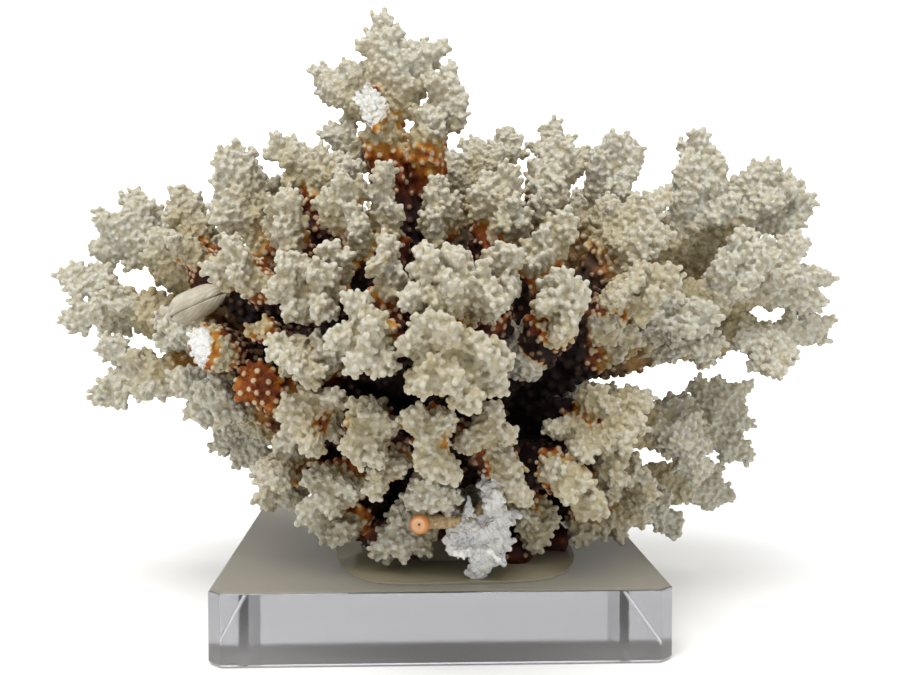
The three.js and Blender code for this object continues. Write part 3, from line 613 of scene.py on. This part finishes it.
# ---------------------------------------------------------------- left limbs
# The limbs that reach out to the left, nearly level and weathered cream to
# their ends.
grow_limb("left_high_limb", (-30, 6, 82), [
    ((-105, 9, 130), [(-121, 7, 161, 17), (-132, 6, 151, 15), (-134, 9, 140, 11),
        (-112, 14, 156, 13), (-124, 18, 144, 14)])], 0.88, 0.15)
grow_limb("left_high_front_limb", (-32, -8, 82), [
    ((-88, -12, 130), [(-98, -6, 160, 13), (-90, -4, 154, 12), (-98, -26, 143, 16),
        (-107, -12, 142, 9)])], 1.4, 0.9)
grow_limb("left_mid_limb", (-32, 0, 74), [
    ((-92, -8, 104), [(-102, -22, 112, 11), (-94, -26, 104, 10), (-104, -20, 102, 11)]),
    ((-114, 0, 114), [(-144, 0, 128, 12), (-134, 2, 129, 11), (-144, -4, 111, 12),
        (-126, 3, 106, 8), (-126, -8, 120, 11)])], 0.92, 0.8)
grow_limb("left_low_limb", (-32, -10, 66), [
    ((-100, -10, 92), [(-129, -8, 101, 12), (-130, -11, 81, 12), (-112, -12, 82, 11),
        (-116, 4, 92, 12)]),
    ((-72, -20, 82), [(-82, -36, 88, 11), (-90, -30, 84, 11), (-78, -36, 76, 11), (-92, -24, 76, 11),
        (-98, -26, 91, 10)])], 1.02, 0.8)
grow_limb("left_low_back_limb", (-30, 10, 62), [
    ((-72, 18, 72), [(-95, 16, 86, 14), (-99, 25, 71, 15), (-91, 24, 57, 11), (-81, 30, 49, 10),
        (-72, 28, 46, 10)])], 0.86, 0.1)

# ---------------------------------------------------------------- front limbs
# The limbs that grow towards the viewer and end in the broadest heads. Their
# stems are stained deepest, and the lowest come down near the block.
FRONT_STAIN = 1.51, 1
grow_limb("front_left_high_limb", (-20, -32, 82), [
    ((-40, -60, 120), [(-51, -76, 132, 13), (-56, -74, 123, 9), (-33, -76, 136, 14),
        (-38, -83, 116, 9), (-50, -74, 115, 10), (-38, -84, 128, 13)]),
    ((-40, -60, 98), [(-54, -80, 103, 12), (-47, -87, 98, 14), (-36, -79, 103, 12)])], *INNER_STAIN)
grow_limb("front_centre_left_limb", (-10, -38, 88), [
    ((-18, -78, 116), [(-18, -91, 138, 12), (-14, -88, 128, 11)]),
    ((-19, -88, 107), [(-29, -105, 119, 12), (-34, -104, 108, 11), (-27, -107, 100, 12),
        (-18, -108, 100, 12), (-23, -113, 110, 14)])], *INNER_STAIN)
grow_limb("front_centre_high_limb", (2, -40, 88), [
    ((3, -90, 117), [(-7, -108, 132, 13), (4, -110, 134, 13), (13, -110, 127, 13),
        (16, -108, 118, 10), (-11, -110, 121, 10), (2, -116, 124, 15)]),
    ((17, -68, 116), [(20, -88, 135, 11), (21, -88, 124, 11)])], *INNER_STAIN)
grow_limb("front_centre_low_limb", (0, -42, 78), [
    ((-2, -94, 103), [(-13, -111, 107, 11), (-7, -113, 112, 10), (2, -119, 112, 14),
        (-10, -113, 94, 12), (2, -118, 96, 13)]),
    ((4, -94, 101), [(12, -116, 107, 12), (17, -112, 101, 10), (16, -110, 94, 11),
        (7, -114, 88, 11)])], *FRONT_STAIN)
grow_limb("front_low_limb", (2, -40, 66), [
    ((-4, -84, 79), [(-10, -98, 84, 11), (0, -97, 83, 10), (-6, -99, 75, 12), (-6, -96, 64, 10),
        (2, -93, 63, 9)]),
    ((12, -72, 80), [(9, -87, 73, 11), (21, -86, 75, 9), (17, -88, 82, 9)])], *FRONT_STAIN)
grow_limb("front_low_left_limb", (-10, -38, 68), [
    ((-24, -72, 79), [(-24, -87, 88, 12), (-17, -88, 78, 11), (-29, -88, 69, 13), (-21, -87, 69, 9)]),
    ((-17, -68, 68), [(-22, -83, 57, 10), (-14, -79, 64, 10)])], *FRONT_STAIN)
grow_limb("front_left_low_limb", (-20, -32, 68), [
    ((-39, -62, 82), [(-48, -79, 86, 12), (-45, -80, 70, 11), (-52, -76, 79, 9), (-36, -78, 89, 12),
        (-33, -68, 74, 11)])], *FRONT_STAIN)
grow_limb("front_left_foot_limb", (-18, -28, 52), [
    ((-33, -52, 57), [(-45, -64, 61, 13), (-40, -68, 49, 13), (-31, -68, 54, 10), (-47, -62, 45, 8)]),
    ((-30, -44, 42), [(-44, -53, 39, 12), (-34, -58, 37, 13)])], 1.32, 1)
grow_limb("left_foot_limb", (-26, -16, 54), [
    ((-48, -36, 60), [(-59, -60, 58, 10), (-54, -52, 70, 10), (-63, -43, 46, 10), (-53, -44, 46, 9),
        (-66, -38, 58, 10)])], *INNER_STAIN)
grow_limb("front_foot_limb", (0, -32, 46), [
    ((-10, -48, 40), [(-16, -60, 46, 16), (-15, -63, 33, 18), (-23, -58, 30, 12)]),
    ((-3, -56, 55), [(-10, -74, 55, 10), (2, -75, 54, 11), (-4, -80, 57, 12)])], 1.1, 1)

# ---------------------------------------------------------------- front right limbs
# The limbs between the front and the right side, from the foot to the top.
grow_limb("front_right_low_limb", (14, -36, 62), [
    ((18, -68, 68), [(19, -79, 72, 11), (23, -82, 61, 14), (27, -78, 52, 11)])], *FRONT_STAIN)
grow_limb("right_low_front_limb", (22, -28, 58), [
    ((40, -62, 62), [(36, -74, 64, 11), (44, -80, 56, 14), (53, -74, 47, 12)]),
    ((30, -42, 44), [(35, -50, 31, 9), (42, -48, 40, 10), (29, -54, 41, 10)])], *FRONT_STAIN)
grow_limb("right_mid_front_limb", (28, -22, 72), [
    ((52, -50, 77), [(55, -66, 87, 13), (70, -60, 87, 13), (68, -64, 76, 12), (46, -72, 68, 12),
        (60, -74, 71, 14), (60, -67, 58, 10), (36, -66, 75, 9)])], *FRONT_STAIN)
grow_limb("right_foot_limb", (28, -14, 52), [
    ((62, -36, 60), [(70, -47, 57, 11), (77, -45, 47, 11), (60, -48, 50, 9)]),
    ((56, -24, 42), [(70, -24, 31, 11), (79, -20, 36, 10), (61, -30, 32, 8), (51, -40, 31, 9)])],
    *FRONT_STAIN)
grow_limb("right_low_limb", (32, -6, 62), [
    ((85, -14, 70), [(103, -18, 61, 14), (101, -14, 72, 13), (101, -18, 51, 11), (96, -8, 80, 12),
        (90, -26, 66, 12)])], 0.86, 0.4)
grow_limb("right_low_back_limb", (32, 8, 66), [
    ((104, 17, 68), [(130, 20, 82, 15), (131, 17, 69, 14), (130, 18, 53, 13), (118, 22, 85, 14),
        (120, 26, 58, 13)])], 0.71, 0.3)
grow_limb("right_foot_back_limb", (30, 12, 48), [
    ((102, 25, 41), [(122, 30, 45, 12), (126, 30, 34, 13), (114, 36, 36, 11)]),
    ((84, 12, 38), [(99, 14, 23, 10), (92, 12, 30, 9), (92, 4, 40, 10)])], 0.71, 0.3)
grow_limb("front_right_high_limb", (18, -34, 82), [
    ((37, -72, 111), [(38, -88, 128, 14), (33, -87, 121, 10), (43, -84, 122, 11),
        (40, -88, 113, 13)]),
    ((22, -48, 102), [(25, -60, 109, 12), (28, -61, 99, 12), (18, -62, 112, 9)])], *INNER_STAIN)
grow_limb("upper_right_front_limb", (12, -26, 94), [
    ((34, -54, 128), [(35, -66, 141, 13), (42, -66, 148, 11), (31, -69, 134, 11)]),
    ((20, -42, 140), [(22, -50, 165, 14), (15, -52, 159, 12), (24, -58, 152, 13),
        (30, -54, 147, 11)])], *INNER_STAIN)
grow_limb("upper_right_mid_limb", (16, -12, 96), [
    ((38, -24, 148), [(45, -30, 177, 15), (38, -34, 168, 13), (46, -38, 161, 13),
        (37, -38, 156, 11)]),
    ((44, 8, 156), [(49, 19, 191, 17), (59, 8, 179, 15), (42, 12, 176, 13)])], 1.23, 0.5)
grow_limb("upper_mid_limb", (2, -20, 98), [
    ((-1, -36, 136), [(-2, -44, 162, 12), (4, -44, 156, 10), (-3, -52, 148, 11)])], *INNER_STAIN)
grow_limb("upper_back_limb", (4, 12, 98), [
    ((18, 38, 158), [(19, 51, 190, 18), (37, 50, 191, 15), (28, 40, 184, 14), (2, 30, 180, 15),
        (10, 46, 176, 13)])], 1.18, 0.1)
grow_limb("upper_right_outer_limb", (22, -2, 92), [
    ((58, -18, 146), [(68, -26, 180, 14), (75, -24, 173, 12), (61, -28, 173, 11),
        (70, -30, 165, 12), (66, -12, 170, 13)])], 0.96, 0.3)
grow_limb("right_upper_front_limb", (24, -16, 88), [
    ((58, -38, 130), [(71, -46, 154, 16), (80, -42, 159, 13), (79, -50, 145, 13),
        (68, -54, 143, 14), (70, -55, 135, 11), (61, -42, 155, 12)])], 1.41, 0.6)
grow_limb("right_mid_high_limb", (28, -20, 80), [
    ((56, -50, 114), [(66, -71, 128, 14), (77, -68, 128, 12), (72, -71, 120, 12),
        (61, -71, 121, 11)]),
    ((54, -40, 102), [(63, -52, 101, 14), (58, -56, 112, 11), (70, -46, 108, 11)])], 1.55, 0.9)

# ---------------------------------------------------------------- right limbs
# The widest reaching limbs, whose stems are only tan, so light shows between
# them.
grow_limb("right_top_limb", (30, -2, 84), [
    ((91, -15, 145), [(99, -20, 181, 15), (105, -18, 174, 12), (93, -23, 172, 11),
        (107, -22, 165, 13), (94, -26, 161, 13), (110, -26, 155, 12)])], 0.76, 0.2)
grow_limb("right_far_top_limb", (32, 6, 80), [
    ((118, -2, 148), [(130, -5, 173, 14), (142, -4, 166, 13), (147, -4, 157, 11),
        (142, -6, 148, 11), (135, -13, 160, 14), (120, -4, 167, 10)])], 0.66, 0.15)
grow_limb("right_far_mid_limb", (32, -8, 94), [
    ((80, -22, 110), [(82, -46, 121, 13), (93, -46, 117, 13), (76, -44, 112, 11), (99, -44, 112, 12),
        (88, -48, 109, 13), (94, -38, 101, 11), (102, -36, 100, 11)]),
    ((104, -26, 120), [(111, -38, 143, 13), (119, -40, 138, 13), (104, -38, 134, 12),
        (114, -40, 126, 13)]),
    ((118, -20, 122), [(135, -26, 141, 14), (149, -18, 128, 13), (145, -20, 118, 12),
        (133, -30, 126, 16)])], 0.82, 0.3)
grow_limb("right_far_low_limb", (33, 0, 94), [
    ((116, -18, 108), [(151, -10, 109, 12), (150, -8, 103, 11), (124, -34, 90, 13),
        (119, -34, 97, 12), (129, -32, 96, 11)]),
    ((92, -4, 106), [(104, -2, 98, 12), (112, 4, 94, 11), (114, 0, 103, 10), (86, -15, 99, 11)])],
    0.82, 0.35)
grow_limb("right_back_mid_limb", (28, 18, 74), [
    ((68, 38, 72), [(80, 46, 77, 14), (94, 48, 71, 14), (88, 42, 64, 12)]),
    ((50, 12, 82), [(58, 4, 84, 13), (66, 8, 80, 12)])], 0.8, 0.1)

# ---------------------------------------------------------------- back limbs
# The limbs that grow away from the viewer, cream and olive like the sides.
BACK_STAIN = 0.91, 0.1
grow_limb("back_top_limb", (-4, 20, 94), [
    ((-8, 42, 120), [(-16, 60, 126, 13), (2, 60, 122, 13), (-6, 58, 136, 12)]),
    ((-8, 56, 140), [(-12, 78, 160, 15), (4, 82, 154, 14), (-22, 66, 164, 14), (0, 64, 164, 13),
        (-30, 62, 158, 16)])], *BACK_STAIN)
grow_limb("back_upper_left_limb", (-20, 14, 90), [
    ((-28, 32, 114), [(-24, 52, 118, 13), (-36, 52, 110, 13)]),
    ((-44, 48, 132), [(-62, 56, 152, 15), (-50, 70, 146, 14), (-38, 60, 160, 14)]),
    ((-74, 36, 124), [(-99, 42, 140, 15), (-90, 52, 131, 14), (-92, 30, 148, 13)])], *BACK_STAIN)
grow_limb("top_left_limb", (-20, 0, 94), [
    ((-56, 12, 142), [(-72, 8, 168, 15), (-57, 18, 172, 15), (-82, 16, 158, 14), (-64, 28, 160, 14),
        (-46, 6, 170, 13)])], *BACK_STAIN)
grow_limb("back_upper_right_limb", (20, 12, 92), [
    ((42, 28, 118), [(50, 48, 124, 13), (38, 48, 114, 13)]),
    ((62, 42, 136), [(78, 52, 156, 15), (62, 64, 151, 15), (86, 42, 150, 14), (62, 42, 164, 14)])],
    *BACK_STAIN)
grow_limb("back_right_limb", (30, 14, 92), [
    ((64, 26, 108), [(70, 44, 114, 13), (78, 42, 104, 13)]),
    ((94, 34, 118), [(120, 44, 130, 15), (108, 56, 120, 15), (126, 32, 118, 13), (104, 38, 138, 14),
        (112, 22, 132, 13)])], *BACK_STAIN)
grow_limb("back_left_limb", (-28, 16, 76), [
    ((-56, 34, 90), [(-66, 50, 84, 13), (-58, 52, 98, 13)]),
    ((-80, 46, 102), [(-104, 56, 112, 15), (-94, 66, 101, 15), (-108, 46, 98, 14),
        (-86, 58, 118, 14), (-98, 40, 112, 13)])], *BACK_STAIN)
grow_limb("back_mid_limb", (-4, 30, 78), [
    ((12, 56, 90), [(12, 76, 98, 13), (20, 74, 86, 12)]),
    ((-8, 80, 102), [(-16, 102, 112, 15), (0, 105, 103, 15), (-22, 97, 98, 14), (6, 96, 116, 14),
        (-6, 103, 91, 13)]),
    ((-32, 66, 96), [(-48, 84, 106, 15), (-44, 90, 92, 14), (-54, 78, 88, 13), (-34, 82, 114, 13)])],
    *BACK_STAIN)
grow_limb("back_right_mid_limb", (20, 26, 78), [
    ((36, 48, 86), [(30, 66, 84, 13), (46, 64, 78, 13), (34, 62, 96, 12)]),
    ((48, 70, 98), [(62, 90, 106, 15), (48, 97, 96, 15), (72, 82, 92, 14), (54, 80, 114, 14),
        (38, 88, 108, 13)])], *BACK_STAIN)
grow_limb("back_low_limb", (-6, 28, 54), [
    ((20, 48, 58), [(28, 66, 62, 13), (20, 68, 52, 12)]),
    ((-6, 66, 58), [(-14, 87, 64, 14), (6, 90, 62, 14), (-6, 88, 50, 13), (14, 82, 50, 12)]),
    ((-46, 58, 60), [(-62, 74, 66, 14), (-52, 80, 58, 13), (-70, 62, 54, 13)])], *BACK_STAIN)
grow_limb("back_right_low_limb", (20, 24, 54), [
    ((42, 40, 56), [(38, 58, 50, 12), (50, 58, 68, 12)]),
    ((58, 56, 58), [(74, 70, 64, 14), (62, 78, 58, 14), (84, 58, 54, 13), (70, 64, 46, 12)])], *BACK_STAIN)

# ---------------------------------------------------------------- broken and stained limbs
# Three short limbs on the left and at the foot that lost their ends: one shows
# a flat white break with a rust rim, one a smooth amber dome with a few round
# knobs, and the one by the worm tube is snapped to a bright crystalline face.
grow_limb("broken_left_limb", (-30, -20, 72), [
    ((-70, -30, 98), [(-88, -58, 103, 22), (-80, -50, 98, 14)]),
    ((-52, -44, 104), [(-61, -63, 112, 11), (-58, -58, 102, 11), (-70, -54, 109, 9)])], 1.75, 1,
    "coral_stained", [((-85, -44.5, 102), (-0.15, -1, 0.1), 8, 0.93)], fingers=False, deepest=0.5)
grow_limb("left_amber_limb", (-26, -26, 64), [
    ((-56, -40, 86), [(-68, -56, 93, 21), (-74, -51, 85, 13), (-62, -54, 82, 13)])], 2.2, 1,
    "coral_stained", fingers=False, deepest=0.18, crowding=1.5, size=1.2)
grow_limb("broken_front_limb", (12, -32, 46), [
    ((13, -46, 42), [(18, -74, 57, 10), (6, -76, 43, 18), (20, -77, 42, 19), (8, -76, 34, 17),
        (19, -76, 33, 16), (13, -74, 27, 9)])], 0.1, 0, "coral_fracture",
    [((7, -67, 44), (-0.5, -1, 0.45), 9, 0.93), ((20, -67, 40), (0.5, -1, 0.1), 8, 0.93),
     ((12, -68, 31), (-0.1, -1, -0.45), 8, 0.93), ((13, -56, 42), (0, -1, 0), 26, 0.0)], crowding=1.3)

# ---------------------------------------------------------------- holdfast
# The solid middle that every limb springs from: four lumps and two pegs grown
# together, cemented to the block through the glue. It is the oldest part and
# the darkest, stained deep brown and near black, partly as painted shade for
# the shaded heart of the colony.

# FOOT_LEVEL, in mm, is just clear of the block's top face.
FOOT_LEVEL = 24.9
holdfast_rng = np.random.default_rng(11)
lumps = []
for centre, radii in [((2, -4, 64), (33, 37, 37)), ((-6, -14, 34), (25, 25, 17)),
                      ((16, -8, 34), (24, 27, 17)), ((2, 16, 34), (26, 23, 17))]:
    rise = np.linspace(-0.97, 0.97, 12)
    path = np.array(centre, float) + np.array([0, 0, radii[2]]) * rise[:, None]
    width = radii[0] * np.sqrt(1 - rise ** 2)
    lumps.append(swept(path, width, np.array([1.0, 0, 0]), radii[1] / radii[0], 24))
pegs = [((24, -34, 34), (29, -44, 27), 6), ((38, -18, 32), (46, -24, 27), 6)]
for start, end, radius in pegs:
    run = np.linspace(0, 1, 6)[:, None]
    path = np.array(start, float) + (np.array(end, float) - start) * run
    lumps.append(swept(path, np.linspace(radius + 2, radius, 6), np.array([1.0, 0, 0.1]), 0.8))
base = skinned(*joined(lumps), 1.6, 6)
mesh, skin, knob = knobbed(base, [(HEART, HEART + [0, 0, 0.1])], 1, holdfast_rng)
skin[:, 2] = np.maximum(skin[:, 2], FOOT_LEVEL)
mesh.vertices.foreach_set("co", skin.ravel())
# Partly painted shade: a fixed inward of 0.38 colours the whole holdfast near black.
finish_coral(mesh, "holdfast", "coral_dark", knob=knob, inward=np.full(len(skin), 0.38),
             rust=np.ones(len(skin)), fracture=np.zeros(len(skin)))

# ---------------------------------------------------------------- worm tube
# The limy tube of a worm that lived on the coral: tan and finely ringed, bent
# up at its far end, with an orange lip round a pale plug at the mouth.
material, tree, out = new_material("limy worm tube")
coord = add_node(tree, "TexCoord").outputs["Object"]
speckle = add_node(tree, "TexNoise", Vector=coord, Scale=900.0, Detail=4.0)
part = add_node(tree, "Attribute", dict(attribute_name="part")).outputs["Fac"]
stops = [(0.3, "8a6c46"), (0.5, "b39a70"), (0.7, "cdbb95")]
tan = add_node(tree, "ValToRGB", dict(stops=stops), in_0=speckle)
stops = [(0.3, "b9692c"), (0.55, "c98248"), (0.72, "e0b88e"), (0.93, "d9a678"), (1.0, "2a1408")]
lip = add_node(tree, "ValToRGB", dict(stops=stops), in_0=part)
at_mouth = add_node(tree, "MapRange", SMOOTH, Value=part, From_Min=0.1, From_Max=0.3)
skin_colour = add_node(tree, "Mix", COLOURS, in_0=at_mouth, in_6=tan, in_7=lip)
bump = add_node(tree, "Bump", Strength=0.5, Distance=0.0003, Height=speckle)
tube_skin = add_node(tree, "BsdfPrincipled", Base_Color=skin_colour, Roughness=0.5, Normal=bump)
tree.links.new(tube_skin.outputs[0], out.inputs["Surface"])


def smooth_path(corners, count):
    """A smooth path through corner points, by Catmull-Rom segments sampled count times in all."""
    corners = np.array(corners, float)
    padded = np.concatenate([[2 * corners[0] - corners[1]], corners, [2 * corners[-1] - corners[-2]]])
    place = np.linspace(0, len(corners) - 1 - 1e-9, count)
    i = place.astype(int)
    t = (place - i)[:, None]
    a, b, c, d = padded[i], padded[i + 1], padded[i + 2], padded[i + 3]
    curve = 2 * b + (c - a) * t + (2 * a - 5 * b + 4 * c - d) * t ** 2 + (3 * b - a - 3 * c + d) * t ** 3
    return 0.5 * curve


TUBE_STEPS, TUBE_RADIUS, MOUTH_SIDES = 90, 2.35, 32
route = smooth_path([(18, -54, 60), (18, -56, 57), (15, -60, 50), (10, -64, 45), (3, -64.5, 44.5),
                     (-3.5, -66.5, 45), (-6.6, -70, 45.3)], TUBE_STEPS)
ringing = np.sin(np.arange(TUBE_STEPS) * 1.7) * 0.09
ringing += np.random.default_rng(3).normal(0, 0.05, TUBE_STEPS)
tube_points, tube_faces = swept(route, TUBE_RADIUS + ringing, np.array([0.1, 0.2, 1.0]), 1.0, 20)

# The mouth is a profile of run along its axis and radius about it, which
# flares, rolls in over the lip and dips to the plug.
mouth_run = np.array([0, 0.9, 2.0, 3.2, 4.1, 4.6, 4.75, 4.55, 4.15, 3.9, 3.85])
mouth_radius = np.array([2.3, 2.9, 3.25, 3.3, 3.0, 2.5, 2.0, 1.7, 1.3, 0.8, 0.2])
mouth_way = np.array([-1.3, -5.0, 0.3])
mouth_way /= np.linalg.norm(mouth_way)
mouth_side = np.cross(mouth_way, [0, 0, 1.0])
mouth_side /= np.linalg.norm(mouth_side)
mouth_up = np.cross(mouth_side, mouth_way)
side_number = np.arange(MOUTH_SIDES)
turn = side_number * 2 * math.pi / MOUTH_SIDES
mouth_spoke = np.cos(turn)[:, None] * mouth_side + np.sin(turn)[:, None] * mouth_up
mouth_rings = (np.array([-6.5, -69.8, 45.3]) + mouth_run[:, None, None] * mouth_way
               + mouth_radius[:, None, None] * mouth_spoke)
first = len(tube_points)
mouth_faces = grid_faces(len(mouth_run), MOUTH_SIDES, True) + first
plug = side_number + (len(mouth_run) - 1) * MOUTH_SIDES + first
mouth_part = np.repeat([0.25, 0.35, 0.4, 0.45, 0.5, 0.56, 0.64, 0.74, 0.8, 0.9, 1.0], MOUTH_SIDES)
tube_list = tube_faces.tolist() + mouth_faces.tolist()
tube_list += [plug.tolist(), (side_number + first)[::-1].tolist()]
tube_places = np.concatenate([tube_points, mouth_rings.reshape(-1, 3)]) * MM
tube = mesh_object("worm_tube_shell", tube_places, tube_list)
tube_part = np.concatenate([np.zeros(len(tube_points)), mouth_part])
tube.data.attributes.new("part", "FLOAT", "POINT").data.foreach_set("value", tube_part.astype(np.float32))
tube.data.materials.append(material)
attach(tube, "root")
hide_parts("worm_tube")

# ---------------------------------------------------------------- lodged clam
# Two closed valves of a small smooth bivalve that grew wedged between the left
# limbs: dull cream shell with faint growth lines and a dark, saw-edged seam.
material, tree, out = new_material("dull cream shell")
coord = add_node(tree, "TexCoord").outputs["Object"]
across = add_node(tree, "Attribute", dict(attribute_name="across")).outputs["Fac"]
cloud = add_node(tree, "TexNoise", Vector=coord, Scale=180.0, Detail=3.0)
fine = add_node(tree, "TexNoise", Vector=coord, Scale=1400.0, Detail=2.0)
bands = add_node(tree, "Math", MULTIPLY, in_0=across, in_1=26.0)
bands = add_node(tree, "Math", MULTIPLY_ADD, in_0=cloud, in_1=2.5, in_2=bands)
growth = add_node(tree, "Math", dict(operation="SINE"), in_0=bands)
tone = add_node(tree, "Math", MULTIPLY_ADD, in_0=growth, in_1=0.03, in_2=cloud)
stops = [(0.3, "958b74"), (0.5, "aaa18c"), (0.7, "bdb5a5")]
shell_colour = add_node(tree, "ValToRGB", dict(stops=stops), in_0=tone)
seam = add_node(tree, "Math", dict(operation="ABSOLUTE"), in_0=across)
seam = add_node(tree, "Math", MULTIPLY_ADD, in_0=fine, in_1=0.03, in_2=seam)
off_seam = add_node(tree, "MapRange", SMOOTH, Value=seam, From_Min=0.02, From_Max=0.045)
shell_colour = add_node(tree, "Mix", COLOURS, in_0=off_seam, in_6=linear("3c2a1c"), in_7=shell_colour)
bump = add_node(tree, "Bump", Strength=0.12, Distance=0.0001, Height=growth)
shell = add_node(tree, "BsdfPrincipled", Base_Color=shell_colour, Roughness=0.5, Normal=bump)
tree.links.new(shell.outputs[0], out.inputs["Surface"])

# An egg of two half-axes in mm, pinched along the seam, rippled, blunter at
# one end and fuller above the seam than below, then tilted in the x-z plane.
CLAM_MIDDLE, CLAM_TILT = np.array([-84.5, -40, 116.6]), 0.42
HALF_LENGTH, HALF_BREADTH = 10.2, 5.6
rows, columns = 60, 120
latitude, longitude = np.meshgrid(np.linspace(-math.pi / 2, math.pi / 2, rows),
                                  np.arange(columns) * 2 * math.pi / columns, indexing="ij")
u, v = np.sin(latitude), np.cos(latitude)
groove = 1 - 0.10 * np.exp(-(np.sin(longitude) * v / 0.05) ** 2)
ripple = 1 + 0.04 * np.sin(longitude * 3 + u * 5) + 0.012 * np.sin(longitude * 17 - u * 23)
blunt = np.where(u < 0, -np.abs(u) ** 0.8, u)
blunt = blunt * (1 + np.where(u < -0.5, 0.07 * np.sin(longitude * 7), 0))
long_axis = HALF_LENGTH * blunt
short_axis = HALF_BREADTH * v * np.sin(longitude)
short_axis = np.where(np.sin(longitude) > 0, short_axis * 1.1, short_axis * 0.85)
depth_axis = HALF_BREADTH * v * np.cos(longitude)
clam_local = np.stack([long_axis * math.cos(CLAM_TILT) - short_axis * math.sin(CLAM_TILT), -depth_axis,
                       long_axis * math.sin(CLAM_TILT) + short_axis * math.cos(CLAM_TILT)], -1)
clam_points = CLAM_MIDDLE + clam_local * (groove * ripple)[..., None]
clam_faces = grid_faces(rows, columns, True).tolist()
clam = mesh_object("lodged_clam_shell", clam_points.reshape(-1, 3) * MM, clam_faces)
clam.data.attributes.new("across", "FLOAT", "POINT").data.foreach_set(
    "value", (np.sin(longitude) * v).astype(np.float32).ravel())
clam.data.materials.append(material)
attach(clam, "root")
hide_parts("lodged_clam")
